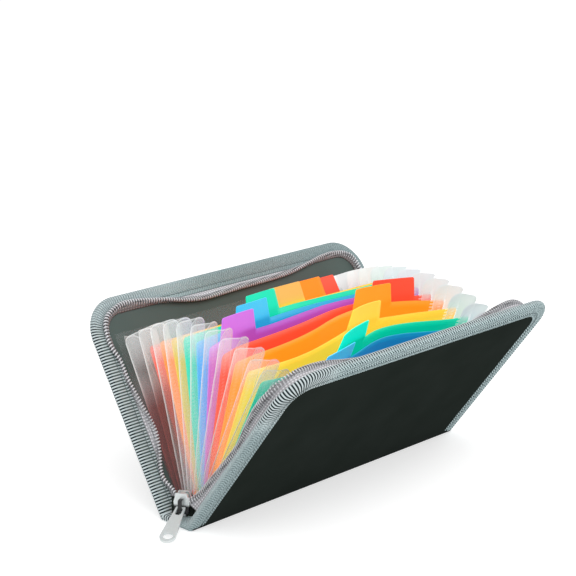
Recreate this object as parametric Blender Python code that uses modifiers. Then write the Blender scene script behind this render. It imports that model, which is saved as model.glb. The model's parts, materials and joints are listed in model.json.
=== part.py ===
"""A small zip-round expanding file folder, standing open in a V on its spine.

Two padded covers fold on the rolled edges of a flat spine. Each cover is cloth, board and lining
held together by a bound edge, and carries half of the zip: a standing tape with a toothed coil.
Between the covers stands an accordion of twelve tabbed dividers, with a pleated film gusset at
each end. X runs along the spine, -Y is the front cover's side, +Z is up, and the origin is the
middle of the face that the folder stands on.
"""
import math

import bmesh
import bpy

MM = 0.001
DEG = math.pi / 180

# Case
CASE_WIDTH = 180 * MM
CASE_THICKNESS = 20 * MM
COVER_HEIGHT = 101.5 * MM
CORNER_RADIUS = 18 * MM
FRONT_OPEN_ANGLE = 37.2 * DEG
REAR_OPEN_ANGLE = 31.2 * DEG
SEAT_GAP = 0.3 * MM
CUT_OVERRUN = 2 * MM
WELD_DISTANCE = 0.0003 * MM

# Cover layers, from the outer face inwards
CLOTH_THICKNESS = 0.4 * MM
BOARD_THICKNESS = 0.8 * MM
LINING_THICKNESS = 0.4 * MM
BINDING_THICKNESS = 0.45 * MM
BINDING_WIDTH = 8.5 * MM
BOARD_INSET = 2 * MM

# Spine, whose long edges are rolls round the two hinge lines
ROLL_RADIUS = 1.2 * MM
ROLL_SEGMENTS = 4
ROLL_WIDTH_SHARE = 0.999
SPINE_LINING_THICKNESS = 0.4 * MM
COVER_FOOT = ROLL_RADIUS + SEAT_GAP

# Zip
TAPE_THICKNESS = 0.4 * MM
TAPE_FOOT = 16 * MM
CHAIN_GAP = 0.6 * MM
COIL_WIDTH = 1.8 * MM
COIL_CORE_THICKNESS = 0.7 * MM
TOOTH_HEIGHT = 0.6 * MM
TOOTH_PITCH = 2 * MM
STOP_LENGTH = 1.6 * MM
STOP_THICKNESS = 0.8 * MM

# Accordion
DIVIDER_COUNT = 12
DIVIDER_THICKNESS = 0.4 * MM
DIVIDER_FOOT = 0.15 * MM
FLOOR_THICKNESS = 0.4 * MM
FLOOR_GAP = 0.2 * MM
END_SHEET_THICKNESS = 0.4 * MM
END_SHEET_FOOT = 5 * MM
END_SHEET_CLEARANCE = 8.3 * MM
SHEET_CORNER_RADIUS = 4 * MM
FIRST_POCKET_ANGLE = 8.9 * DEG
POCKET_ANGLE = 5.57 * DEG
NARROW_POCKET_ANGLE = 4.15 * DEG
NARROW_POCKETS = 3
FIRST_SHEET_LINE = 32.7 * DEG

# Tabs, which step along the sheets in two groups of six
TABS_IN_GROUP = 6
TAB_HEIGHT = 9.8 * MM
TAB_WIDTH = 20.6 * MM
TAB_FLARE = 1.5 * MM
TAB_CLEARANCE = 5.2 * MM
FIRST_TAB_INSET = 13.8 * MM
LAST_TAB_INSET = 12.4 * MM
TAB_CORNER_RADIUS = 1.2 * MM

# Gussets; the accordion sits off the middle, towards the slider
ACCORDION_OFFSET = 2.5 * MM
FILM_THICKNESS = 0.2 * MM
GUSSET_DEPTH = 6.7 * MM
GUSSET_CLEARANCE = 1.8 * MM
GUSSET_FOOT = 8 * MM
GUSSET_RISE = 10.5 * MM
FOLD_RISE = 1 * MM
REAR_PLEAT_DROP = 6.3 * MM
SHORT_PLEATS = 5
FOLD_FLAT = 0.55 * MM

# Slider and puller
SLIDER_SEAT_INSET = 6 * MM
SLIDER_OFFSET = 0.5 * MM
SLIDER_TURN = 29 * DEG
SLIDER_LIFT = 1.4 * MM
SLIDER_LENGTH = 9.5 * MM
SLIDER_FOOT_WIDTH = 6 * MM
SLIDER_SHOULDER_WIDTH = 7.4 * MM
SLIDER_HEAD_WIDTH = 5 * MM
SLIDER_THICKNESS = 4.2 * MM
SLIDER_EDGE = 0.35 * MM
CHANNEL_DEPTH = 2 * MM
CHANNEL_WIDTH = 4.2 * MM
TAPE_SLOT = 1 * MM
NOSE_WIDTH = 2.2 * MM
NOSE_LENGTH = 4 * MM
TAIL_LENGTH = 8.4 * MM
TAIL_CHAIN_WIDTH = 3 * MM
TAIL_CHAIN_THICKNESS = 1.4 * MM
PARTING_GAP = 0.7 * MM
BRIDGE_LENGTH = 5.4 * MM
BRIDGE_HEIGHT = 2.8 * MM
BRIDGE_WIDTH = 1.6 * MM
BRIDGE_THICKNESS = 0.9 * MM
BRIDGE_LIFT = 1.8 * MM
BRIDGE_GAP = 0.1 * MM
PULLER_LENGTH = 22 * MM
PULLER_THICKNESS = 1 * MM
PULLER_NECK_WIDTH = 4.2 * MM
PULLER_END_WIDTH = 7.2 * MM
PULLER_EDGE = 0.25 * MM
PULLER_BAR = 0.5 * MM
EYE_WIDTH = 2.6 * MM
EYE_LENGTH = 4.2 * MM
END_HOLE_LENGTH = 4.6 * MM
END_HOLE_WIDTH = 3.8 * MM
TABLE_GAP = 0.3 * MM

# Segments of the round stretches
CORNER_SEGMENTS = 10
SMALL_CORNER_SEGMENTS = 3
EDGE_SEGMENTS = 2

# Places that follow from the sizes above
HINGE_Y = CASE_THICKNESS / 2 - ROLL_RADIUS
HINGE_Z = ROLL_RADIUS
SPINE_THICKNESS = 2 * ROLL_RADIUS
CLOTH_FACE = BINDING_THICKNESS + SEAT_GAP
BOARD_FACE = CLOTH_FACE + CLOTH_THICKNESS + SEAT_GAP
LINING_FACE = BOARD_FACE + BOARD_THICKNESS + SEAT_GAP
LINING_BACK = LINING_FACE + LINING_THICKNESS
STACK_BACK = LINING_BACK + SEAT_GAP
BINDING_BACK = STACK_BACK + BINDING_THICKNESS
END_SHEET_BACK = STACK_BACK + END_SHEET_THICKNESS
TAPE_EDGE = (CASE_THICKNESS - CHAIN_GAP) / 2
SPINE_INNER_HALF = CASE_THICKNESS / 2 - BINDING_BACK - SEAT_GAP
SPINE_LINING_BACK = SPINE_THICKNESS + SEAT_GAP + SPINE_LINING_THICKNESS
FLOOR_BACK = SPINE_LINING_BACK + SEAT_GAP + FLOOR_THICKNESS
SHEET_HINGE_Z = FLOOR_BACK + FLOOR_GAP
SHEET_PITCH = (CASE_THICKNESS - 2 * END_SHEET_BACK) / (DIVIDER_COUNT + 1)
TAPE_BACK = BINDING_WIDTH + SEAT_GAP + TAPE_THICKNESS
END_SHEET_HEIGHT = COVER_HEIGHT - TAPE_BACK - END_SHEET_CLEARANCE
END_SHEET_HALF = CASE_WIDTH / 2 - TAPE_BACK - GUSSET_CLEARANCE
GUSSET_OUTER_X = END_SHEET_HALF - ACCORDION_OFFSET
GUSSET_INNER_X = GUSSET_OUTER_X - GUSSET_DEPTH
DIVIDER_WIDTH = 2 * (GUSSET_INNER_X - SEAT_GAP)
DIVIDER_HEIGHT = COVER_HEIGHT - TAPE_BACK - (SHEET_HINGE_Z - HINGE_Z) - TAB_CLEARANCE - TAB_HEIGHT
GUSSET_INNER_HEIGHT = DIVIDER_HEIGHT + GUSSET_RISE
GUSSET_OUTER_HEIGHT = GUSSET_INNER_HEIGHT + FOLD_RISE
TAB_STEP = (DIVIDER_WIDTH - FIRST_TAB_INSET - TAB_WIDTH - LAST_TAB_INSET) / (TABS_IN_GROUP - 1)
TAIL_WIDTH = 2 * (SPINE_INNER_HALF - SEAT_GAP - SLIDER_OFFSET)
SLIDER_X = CASE_WIDTH / 2 - SLIDER_SEAT_INSET
WAIST_HEIGHT = SLIDER_LENGTH - NOSE_LENGTH
FORK_HEIGHT = WAIST_HEIGHT - NOSE_WIDTH
TAIL_FOOT_Z = SPINE_LINING_BACK + SEAT_GAP
SLIDER_FOOT_Z = TAIL_FOOT_Z + SLIDER_LIFT
BRIDGE_FOOT_Z = SLIDER_FOOT_Z + BRIDGE_LIFT
PIVOT_OUT = SLIDER_THICKNESS / 2 + BRIDGE_HEIGHT - BRIDGE_THICKNESS - SEAT_GAP - PULLER_BAR
PIVOT_Z = BRIDGE_FOOT_Z + BRIDGE_THICKNESS / 2 + SEAT_GAP + PULLER_BAR
PULLER_DROOP = math.asin((PIVOT_Z - TABLE_GAP - PULLER_BAR) / PULLER_LENGTH)

COLOURS = {
    "outer_cloth": (0.022, 0.027, 0.027),
    "board": (0.35, 0.3, 0.24),
    "lining": (0.09, 0.1, 0.09),
    "binding": (0.2, 0.25, 0.26),
    "tape": (0.5, 0.48, 0.53),
    "coil": (0.75, 0.75, 0.8),
    "clear_film": (0.85, 0.87, 0.87),
    "zip_metal": (0.66, 0.68, 0.68),
    "zip_black": (0.015, 0.015, 0.017),
    "red": (0.95, 0.07, 0.045),
    "orange": (0.98, 0.26, 0.02),
    "yellow": (0.98, 0.58, 0.03),
    "green": (0.0, 0.6, 0.35),
    "blue": (0.02, 0.27, 0.8),
    "purple": (0.56, 0.1, 0.76),
}
SHEET_COLOURS = ("red", "orange", "yellow", "green", "blue", "purple")
METALS = ("zip_metal",)
CLEAR = ("clear_film",)

PART = None
CUTTERS = None
MATERIALS = {}


def clear_scene():
    """Empty the file and make the two collections."""
    global PART, CUTTERS
    for obj in list(bpy.data.objects):
        bpy.data.objects.remove(obj, do_unlink=True)
    PART = bpy.data.collections.new("expanding_file_folder")
    CUTTERS = bpy.data.collections.new("cutters")
    for collection in (PART, CUTTERS):
        bpy.context.scene.collection.children.link(collection)


def material(name):
    """The Principled material of a finish."""
    if name not in MATERIALS:
        finish = bpy.data.materials.new(name)
        finish.use_nodes = True
        shader = finish.node_tree.nodes["Principled BSDF"]
        shader.inputs["Base Color"].default_value = (*COLOURS[name], 1)
        shader.inputs["Metallic"].default_value = 1 if name in METALS else 0
        shader.inputs["Roughness"].default_value = 0.3 if name in METALS else 0.6
        shader.inputs["Alpha"].default_value = 0.4 if name in CLEAR else 1
        MATERIALS[name] = finish
    return MATERIALS[name]


def add_object(name, data, finish, parent=None):
    """A named object of the part, under its body's empty."""
    obj = bpy.data.objects.new(name, data)
    PART.objects.link(obj)
    obj.parent = parent
    if finish is not None and not data.materials:
        data.materials.append(material(finish))
    return obj


def body_empty(name, location, rotation, parent=None):
    """An empty on a body's joint axis."""
    empty = bpy.data.objects.new(name, None)
    PART.objects.link(empty)
    empty.parent = parent
    empty.location = location
    empty.rotation_euler = rotation
    return empty


def arc(centre, radius, start, end, segments):
    """Points on a round corner, ends included."""
    points = []
    for i in range(segments + 1):
        angle = start + (end - start) * i / segments
        points.append((centre[0] + radius * math.cos(angle), centre[1] + radius * math.sin(angle)))
    return points


def cover_edge(inset, foot, segments=CORNER_SEGMENTS):
    """The cover's outline, moved in by inset: up the left side, over the top, down the right."""
    half = CASE_WIDTH / 2 - inset
    top = COVER_HEIGHT - inset
    radius = CORNER_RADIUS - inset
    left = arc((radius - half, top - radius), radius, math.pi, math.pi / 2, segments)
    right = arc((half - radius, top - radius), radius, math.pi / 2, 0, segments)
    return [(-half, foot)] + left + right + [(half, foot)]


def rounded_outline(corners, radii, segments=SMALL_CORNER_SEGMENTS):
    """A closed outline whose corners are arcs that touch both sides."""
    points = []
    count = len(corners)
    for i, (corner, radius) in enumerate(zip(corners, radii)):
        before, after = corners[i - 1], corners[(i + 1) % count]
        a = math.atan2(before[1] - corner[1], before[0] - corner[0])
        b = math.atan2(after[1] - corner[1], after[0] - corner[0])
        opening = (b - a + math.pi) % (2 * math.pi) - math.pi
        if radius == 0 or abs(abs(opening) - math.pi) < DEG:
            points.append(corner)
            continue
        reach = radius / math.sin(abs(opening) / 2)
        middle = a + opening / 2
        centre = (corner[0] + reach * math.cos(middle), corner[1] + reach * math.sin(middle))
        sweep = math.pi - abs(opening)
        turn = sweep / 2 if opening > 0 else -sweep / 2
        points += arc(centre, radius, middle + math.pi + turn, middle + math.pi - turn, segments)
    return points


def plate(name, outlines, thickness, near, finish, parent, rotation=(math.pi / 2, 0, 0), x=0):
    """A flat piece: outlines in the upright plane, filled and extruded from near inwards."""
    curve = bpy.data.curves.new(name, "CURVE")
    curve.dimensions = "2D"
    curve.fill_mode = "BOTH"
    curve.extrude = thickness / 2
    for outline in outlines:
        spline = curve.splines.new("POLY")
        spline.points.add(len(outline) - 1)
        for point, (u, v) in zip(spline.points, outline):
            point.co = (u, v, 0, 1)
        spline.use_cyclic_u = True
    obj = add_object(name, curve, finish, parent)
    obj.rotation_euler = rotation
    obj.location = (x, near + thickness / 2, 0)
    return obj


def to_mesh(obj):
    """The same object as a mesh, with its caps welded, ready for a Boolean."""
    bpy.context.view_layer.update()
    evaluated = obj.evaluated_get(bpy.context.evaluated_depsgraph_get())
    mesh = bpy.data.meshes.new_from_object(evaluated)
    work = bmesh.new()
    work.from_mesh(mesh)
    bmesh.ops.remove_doubles(work, verts=work.verts, dist=WELD_DISTANCE)
    bmesh.ops.recalc_face_normals(work, faces=work.faces)
    work.to_mesh(mesh)
    work.free()
    name, parent, matrix = obj.name, obj.parent, obj.matrix_world.copy()
    collection = obj.users_collection[0]
    bpy.data.objects.remove(obj, do_unlink=True)
    solid = bpy.data.objects.new(name, mesh)
    collection.objects.link(solid)
    solid.parent = parent
    solid.matrix_world = matrix
    return solid


def box(name, low, high, finish, parent=None):
    """A block between two corners of its parent's frame."""
    bpy.ops.mesh.primitive_cube_add(size=1)
    obj = bpy.context.object
    for collection in list(obj.users_collection):
        collection.objects.unlink(obj)
    PART.objects.link(obj)
    obj.name = name
    obj.parent = parent
    for vertex in obj.data.vertices:
        for axis in range(3):
            middle, length = (low[axis] + high[axis]) / 2, high[axis] - low[axis]
            vertex.co[axis] = middle + vertex.co[axis] * length
    obj.data.materials.append(material(finish))
    return obj


def as_cutter(obj):
    """Move an object to the cutters."""
    for collection in list(obj.users_collection):
        collection.objects.unlink(obj)
    CUTTERS.objects.link(obj)
    obj.hide_render = True
    obj.display_type = "WIRE"
    return obj


def combine(obj, other, operation):
    """A Boolean with another object, which becomes a cutter."""
    modifier = obj.modifiers.new(f"{operation.lower()}_{other.name}", "BOOLEAN")
    modifier.operation = operation
    modifier.solver = "EXACT"
    modifier.object = as_cutter(other)


def soften(obj, width):
    """Rounded edges."""
    bevel = obj.modifiers.new("rounded_edges", "BEVEL")
    bevel.width = width
    bevel.segments = EDGE_SEGMENTS
    bevel.limit_method = "ANGLE"
    bevel.angle_limit = math.pi / 6


def inward(face):
    """A depth from the cover's outer face, as Y in the hinge's frame."""
    return face - ROLL_RADIUS


def cover_layer(name, inset, face, thickness, finish, parent):
    """One sheet of the cover, with the cover's round top corners."""
    outline = cover_edge(inset, COVER_FOOT)
    return plate(name, [outline], thickness, inward(face), finish, parent)


def ring(inset, width, foot):
    """A band of the given width that follows the cover's two sides and top."""
    return cover_edge(inset, foot) + cover_edge(inset + width, foot)[::-1]


def binding(side, parent):
    """The bound edge: a folded strip round the sides and top, with the cover layers inside it."""
    band = plate(f"{side}_binding", [ring(0, BINDING_WIDTH, COVER_FOOT)], BINDING_BACK, inward(0), "binding", parent)
    groove_outline = ring(BINDING_THICKNESS, BINDING_WIDTH, COVER_FOOT - CUT_OVERRUN)
    groove_depth = BINDING_BACK - 2 * BINDING_THICKNESS
    groove = plate(f"{side}_binding_groove", [groove_outline], groove_depth, inward(BINDING_THICKNESS), "binding", parent)
    combine(to_mesh(band), to_mesh(groove), "DIFFERENCE")


def toothed_edge(inset, foot):
    """The coil's outer outline: flat-topped teeth at an even pitch along the tape."""
    path = cover_edge(inset, foot)
    lengths = [0]
    for a, b in zip(path, path[1:]):
        lengths.append(lengths[-1] + math.dist(a, b))
    steps = 4 * round(lengths[-1] / TOOTH_PITCH)
    points = []
    segment = 0
    for i in range(steps + 1):
        distance = lengths[-1] * i / steps
        while segment < len(path) - 2 and lengths[segment + 1] < distance:
            segment += 1
        a, b = path[segment], path[segment + 1]
        run = lengths[segment + 1] - lengths[segment]
        share = (distance - lengths[segment]) / run
        out = TOOTH_HEIGHT if i % 4 in (1, 2) else 0
        normal = (-(b[1] - a[1]) / run, (b[0] - a[0]) / run)
        points.append(tuple(a[k] + (b[k] - a[k]) * share + normal[k] * out for k in range(2)))
    return points


def zip_half(side, parent, stop_side):
    """A standing tape along the cover's inner edge, its toothed coil, and the stop at one end."""
    tape_depth = TAPE_EDGE - STACK_BACK
    plate(f"{side}_zip_tape", [ring(BINDING_WIDTH + SEAT_GAP, TAPE_THICKNESS, TAPE_FOOT)], tape_depth,
          inward(STACK_BACK), "tape", parent)
    coil_back = BINDING_WIDTH
    coil_front = coil_back - COIL_CORE_THICKNESS
    outline = toothed_edge(coil_front, TAPE_FOOT) + cover_edge(coil_back, TAPE_FOOT)[::-1]
    plate(f"{side}_zip_coil", [outline], COIL_WIDTH, inward(TAPE_EDGE - COIL_WIDTH), "coil", parent)
    outer = CASE_WIDTH / 2 - coil_back + STOP_THICKNESS
    inner = CASE_WIDTH / 2 - coil_back
    low_x, high_x = sorted((stop_side * outer, stop_side * inner))
    top = TAPE_FOOT - SEAT_GAP
    near = inward(TAPE_EDGE - COIL_WIDTH)
    stop = box(f"{side}_zip_top_stop", (low_x, near, top - STOP_LENGTH), (high_x, near + COIL_WIDTH, top),
               "zip_metal", parent)
    soften(stop, SEAT_GAP / 2)


def end_sheet(side, parent):
    """The clear sheet that fixes the accordion to the cover's lining."""
    half = END_SHEET_HALF
    corners = [(-half, END_SHEET_FOOT), (-half, END_SHEET_HEIGHT), (half, END_SHEET_HEIGHT), (half, END_SHEET_FOOT)]
    radii = [SHEET_CORNER_RADIUS] * len(corners)
    plate(f"{side}_end_sheet", [rounded_outline(corners, radii)], END_SHEET_THICKNESS, inward(STACK_BACK),
          "clear_film", parent)


def cover(side, parent, stop_side):
    """All the pieces that turn with one cover."""
    cover_layer(f"{side}_cover_cloth", BINDING_THICKNESS + SEAT_GAP, CLOTH_FACE, CLOTH_THICKNESS, "outer_cloth", parent)
    cover_layer(f"{side}_cover_board", BOARD_INSET, BOARD_FACE, BOARD_THICKNESS, "board", parent)
    cover_layer(f"{side}_cover_lining", BINDING_THICKNESS + SEAT_GAP, LINING_FACE, LINING_THICKNESS, "lining", parent)
    binding(side, parent)
    zip_half(side, parent, stop_side)
    end_sheet(side, parent)


def spine_panel():
    """The padded spine: a flat panel whose long edges are full rolls, stepped for the end bindings."""
    half_x = CASE_WIDTH / 2 - BINDING_THICKNESS - SEAT_GAP
    half_y = HINGE_Y + ROLL_RADIUS
    panel = box("spine_panel", (-half_x, -half_y, 0), (half_x, half_y, SPINE_THICKNESS), "outer_cloth")
    roll = panel.modifiers.new("rolled_edges", "BEVEL")
    roll.width = ROLL_RADIUS * ROLL_WIDTH_SHARE
    roll.segments = ROLL_SEGMENTS
    roll.limit_method = "WEIGHT"
    weights = panel.data.attributes.new("bevel_weight_edge", "FLOAT", "EDGE")
    for edge in panel.data.edges:
        a, b = (panel.data.vertices[i].co for i in edge.vertices)
        weights.data[edge.index].value = 1 if abs(a.x - b.x) > half_x else 0
    step = BINDING_THICKNESS + SEAT_GAP
    for name, end in (("left", -1), ("right", 1)):
        inner, outer = end * (CASE_WIDTH / 2 - BINDING_WIDTH - SEAT_GAP), end * (CASE_WIDTH / 2 + CUT_OVERRUN)
        low_x, high_x = sorted((inner, outer))
        cut = box(f"spine_step_{name}", (low_x, -half_y - CUT_OVERRUN, -CUT_OVERRUN), (high_x, half_y + CUT_OVERRUN, step),
                  "outer_cloth")
        combine(panel, cut, "DIFFERENCE")


def spine_binding(name, end):
    """The strip that wraps one end of the spine."""
    outer = CASE_WIDTH / 2
    inner = outer - BINDING_WIDTH
    top = SPINE_LINING_BACK
    low_x, high_x = sorted((end * outer, end * inner))
    strip = box(f"spine_binding_{name}", (low_x, -HINGE_Y, 0), (high_x, HINGE_Y, top), "binding")
    web = outer - BINDING_THICKNESS
    groove_x = sorted((end * web, end * (inner - CUT_OVERRUN)))
    groove = box(f"spine_groove_{name}", (groove_x[0], -HINGE_Y - CUT_OVERRUN, BINDING_THICKNESS),
                 (groove_x[1], HINGE_Y + CUT_OVERRUN, SPINE_THICKNESS + SEAT_GAP), "binding")
    combine(strip, groove, "DIFFERENCE")
    for label, side in (("front", -1), ("rear", 1)):
        y = sorted((side * SPINE_INNER_HALF, side * (HINGE_Y + CUT_OVERRUN)))
        relief = box(f"spine_relief_{name}_{label}", (low_x - CUT_OVERRUN, y[0], SPINE_THICKNESS),
                     (high_x + CUT_OVERRUN, y[1], top + CUT_OVERRUN), "binding")
        combine(strip, relief, "DIFFERENCE")


def spine():
    """The fixed pieces along the bottom."""
    spine_panel()
    spine_binding("left", -1)
    spine_binding("right", 1)
    lining_x = CASE_WIDTH / 2 - BINDING_WIDTH - SEAT_GAP
    lining_z = SPINE_THICKNESS + SEAT_GAP
    box("spine_lining", (-lining_x, -SPINE_INNER_HALF, lining_z), (lining_x, SPINE_INNER_HALF, SPINE_LINING_BACK), "lining")
    half_y = SPINE_INNER_HALF - SEAT_GAP
    half_x = DIVIDER_WIDTH / 2
    box("accordion_floor", (-half_x - ACCORDION_OFFSET, -half_y, FLOOR_BACK - FLOOR_THICKNESS),
        (half_x - ACCORDION_OFFSET, half_y, FLOOR_BACK), "clear_film")


def sheet_line(i):
    """Hinge Y and lean of divider i, counted from the rear; lean is positive towards the rear."""
    y = SHEET_PITCH * ((DIVIDER_COUNT + 1) / 2 - i)
    wide = DIVIDER_COUNT + 1 - NARROW_POCKETS
    lean = FIRST_SHEET_LINE - FIRST_POCKET_ANGLE - POCKET_ANGLE * (min(i, wide) - 1)
    return y, lean - NARROW_POCKET_ANGLE * max(i - wide, 0)


def divider(i):
    """A coloured sheet with one tab, turning on its foot."""
    y, lean = sheet_line(i)
    half = DIVIDER_WIDTH / 2
    place = (i - 1) % TABS_IN_GROUP
    right = half - LAST_TAB_INSET - TAB_STEP * place
    left = right - TAB_WIDTH
    tab_top = DIVIDER_HEIGHT + TAB_HEIGHT
    corners = [(-half, DIVIDER_FOOT), (-half, DIVIDER_HEIGHT), (left - TAB_FLARE, DIVIDER_HEIGHT), (left, tab_top),
               (right, tab_top), (right + TAB_FLARE, DIVIDER_HEIGHT), (half, DIVIDER_HEIGHT), (half, DIVIDER_FOOT)]
    small = TAB_CORNER_RADIUS
    radii = [0, small, small, small, small, small, small, 0]
    empty = body_empty(f"divider_{i:02d}_hinge", (-ACCORDION_OFFSET, y, SHEET_HINGE_Z), (-lean, 0, 0))
    plate(f"divider_{i:02d}", [rounded_outline(corners, radii)], DIVIDER_THICKNESS, -DIVIDER_THICKNESS / 2,
          SHEET_COLOURS[place], empty)


def end_line(side, reach):
    """Y and Z of a point just off an end sheet, at a distance from the hinge line."""
    lean = FRONT_OPEN_ANGLE if side < 0 else REAR_OPEN_ANGLE
    off = inward(END_SHEET_BACK + SEAT_GAP + FILM_THICKNESS)
    y = HINGE_Y - off * math.cos(lean) + reach * math.sin(lean)
    z = HINGE_Z + off * math.sin(lean) + reach * math.cos(lean)
    return side * y, z


def pleat_reach(height, place, share):
    """How far up a pleat line a level lies; the pleats nearest the rear cover are shorter."""
    drop = REAR_PLEAT_DROP * max(0, 1 - place / SHORT_PLEATS)
    return GUSSET_FOOT + (height - drop - GUSSET_FOOT) * share


def pleat_row(share):
    """Points across all the pleats at one level, from the rear cover to the front cover."""
    lines = [end_line(1, pleat_reach(GUSSET_INNER_HEIGHT, 0, share) + SHEET_HINGE_Z)]
    for i in range(1, DIVIDER_COUNT + 1):
        y, lean = sheet_line(i)
        reach = pleat_reach(GUSSET_INNER_HEIGHT, i, share)
        for side in (1, -1):
            across = side * FOLD_FLAT / 2
            lines.append((y + reach * math.sin(lean) + across * math.cos(lean),
                          SHEET_HINGE_Z + reach * math.cos(lean) - across * math.sin(lean)))
    lines.append(end_line(-1, pleat_reach(GUSSET_INNER_HEIGHT, DIVIDER_COUNT + 1, share) + SHEET_HINGE_Z))
    row = []
    lift = (GUSSET_OUTER_HEIGHT - GUSSET_INNER_HEIGHT) * share
    for rear, front in zip(lines[::2], lines[1::2]):
        span = math.dist(rear, front)
        along = ((front[0] - rear[0]) / span, (front[1] - rear[1]) / span)
        middle = ((rear[0] + front[0]) / 2, (rear[1] + front[1]) / 2)
        up = (along[1], -along[0])
        folds = [tuple(middle[k] + up[k] * lift + along[k] * side * FOLD_FLAT / 2 for k in range(2)) for side in (-1, 1)]
        row += [(GUSSET_INNER_X, *rear), (GUSSET_OUTER_X, *folds[0]), (GUSSET_OUTER_X, *folds[1]), (GUSSET_INNER_X, *front)]
    return row


def gusset(name, end):
    """One folded film: pleat lines fan out from the spine, in at each divider and out between."""
    rows = [pleat_row(share) for share in (0, 0.5, 1)]
    across = len(rows[0])
    bpy.ops.mesh.primitive_grid_add(x_subdivisions=across - 1, y_subdivisions=len(rows) - 1, size=1)
    film = bpy.context.object
    for collection in list(film.users_collection):
        collection.objects.unlink(film)
    PART.objects.link(film)
    film.name = name
    film.data.materials.append(material("clear_film"))
    for index, vertex in enumerate(film.data.vertices):
        x, y, z = rows[index // across][index % across]
        vertex.co = (end * x - ACCORDION_OFFSET, y, z)
    solid = film.modifiers.new("film", "SOLIDIFY")
    solid.thickness = FILM_THICKNESS
    solid.offset = 0


def across_piece(name, outline, thickness, finish, seat):
    """A flat piece that stands across the zip, as a mesh."""
    piece = plate(name, [outline], thickness, 0, finish, seat, rotation=(math.pi / 2, 0, math.pi / 2))
    piece.location = (0, 0, 0)
    return to_mesh(piece)


def zip_tail(name, end, turn):
    """The short closed end of the zip, standing on the spine: tape, ridge of joined coil, and the parting."""
    seat = body_empty(f"{name}_seat", (end * SLIDER_X, SLIDER_OFFSET, TAIL_FOOT_Z), (0, 0, turn))
    half, top = TAIL_WIDTH / 2, TAIL_LENGTH
    apex = SLIDER_LIFT + FORK_HEIGHT - PARTING_GAP
    shoulder = SLIDER_LIFT + WAIST_HEIGHT
    parting = NOSE_WIDTH / 2 + SEAT_GAP
    outline = [(-half, 0), (-half, top), (-parting, top), (-parting, shoulder), (0, apex), (parting, shoulder),
               (parting, top), (half, top), (half, 0)]
    tape = across_piece(name, outline, TAPE_THICKNESS, "tape", seat)
    chain = TAIL_CHAIN_WIDTH / 2
    ridge_outline = [(-chain, STOP_LENGTH), (-chain, apex - chain), (0, apex - SEAT_GAP), (chain, apex - chain), (chain, STOP_LENGTH)]
    combine(tape, across_piece(f"{name}_ridge", ridge_outline, TAIL_CHAIN_THICKNESS, "tape", seat), "UNION")
    return seat


def bottom_stop(seat):
    """The metal stop under the slider, clear round the tape."""
    out = TAPE_THICKNESS / 2 + SEAT_GAP
    half = TAIL_CHAIN_WIDTH / 2
    high = STOP_LENGTH - SEAT_GAP
    stop = box("zip_bottom_stop", (-out - STOP_THICKNESS, -half, 0), (-out, half, high), "zip_metal", seat)
    soften(stop, SEAT_GAP / 2)


def slider_body(seat):
    """Two plates joined by a nose, with a Y-shaped way for the chain and slots for the tapes."""
    foot, shoulder, head = SLIDER_FOOT_WIDTH / 2, SLIDER_SHOULDER_WIDTH / 2, SLIDER_HEAD_WIDTH / 2
    length, waist, fork = SLIDER_LENGTH, WAIST_HEIGHT, FORK_HEIGHT
    shield = [(-foot, 0), (-shoulder, waist), (-head, length), (head, length), (shoulder, waist), (foot, 0)]
    outline = rounded_outline(shield, [SLIDER_EDGE] * len(shield))
    body = across_piece("slider_body", outline, SLIDER_THICKNESS, "zip_metal", seat)
    channel, nose = CHANNEL_WIDTH / 2, NOSE_WIDTH / 2
    below, beyond = -CUT_OVERRUN, length + CUT_OVERRUN
    way = [(-channel, below), (-channel, waist), (-head - channel, beyond), (-nose, beyond), (-nose, waist),
           (0, fork), (nose, waist), (nose, beyond), (head + channel, beyond), (channel, waist), (channel, below)]
    combine(body, across_piece("slider_way", way, CHANNEL_DEPTH, "zip_metal", seat), "DIFFERENCE")
    wide = shoulder + CUT_OVERRUN
    slots = [(-wide, below), (-wide, beyond), (-nose, beyond), (-nose, waist), (0, fork), (nose, waist), (nose, beyond),
             (wide, beyond), (wide, below)]
    combine(body, across_piece("slider_slots", slots, TAPE_SLOT, "zip_metal", seat), "DIFFERENCE")
    soften(body, SLIDER_EDGE / 2)


def slider_bridge(seat):
    """The arch on the slider's outer face that the puller hangs on."""
    base = SLIDER_THICKNESS / 2 + BRIDGE_GAP
    rise = BRIDGE_HEIGHT - BRIDGE_GAP
    arch = [(0, 0), (0, rise), (BRIDGE_LENGTH, rise), (BRIDGE_LENGTH, 0)]
    inner = [(BRIDGE_THICKNESS / 2, -CUT_OVERRUN), (BRIDGE_THICKNESS / 2, rise - BRIDGE_THICKNESS),
             (BRIDGE_LENGTH - BRIDGE_THICKNESS / 2, rise - BRIDGE_THICKNESS), (BRIDGE_LENGTH - BRIDGE_THICKNESS / 2, -CUT_OVERRUN)]
    round_top = [0, BRIDGE_THICKNESS, BRIDGE_THICKNESS, 0]

    def upright(name, outline, thickness):
        piece = plate(name, [[(-base - v, BRIDGE_FOOT_Z - SLIDER_FOOT_Z + u) for u, v in outline]], thickness, 0, "zip_black", seat)
        piece.location = (0, 0, 0)
        return to_mesh(piece)

    bridge = upright("slider_bridge", rounded_outline(arch, round_top), BRIDGE_WIDTH)
    combine(bridge, upright("bridge_opening", inner, BRIDGE_WIDTH + CUT_OVERRUN), "DIFFERENCE")


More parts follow.
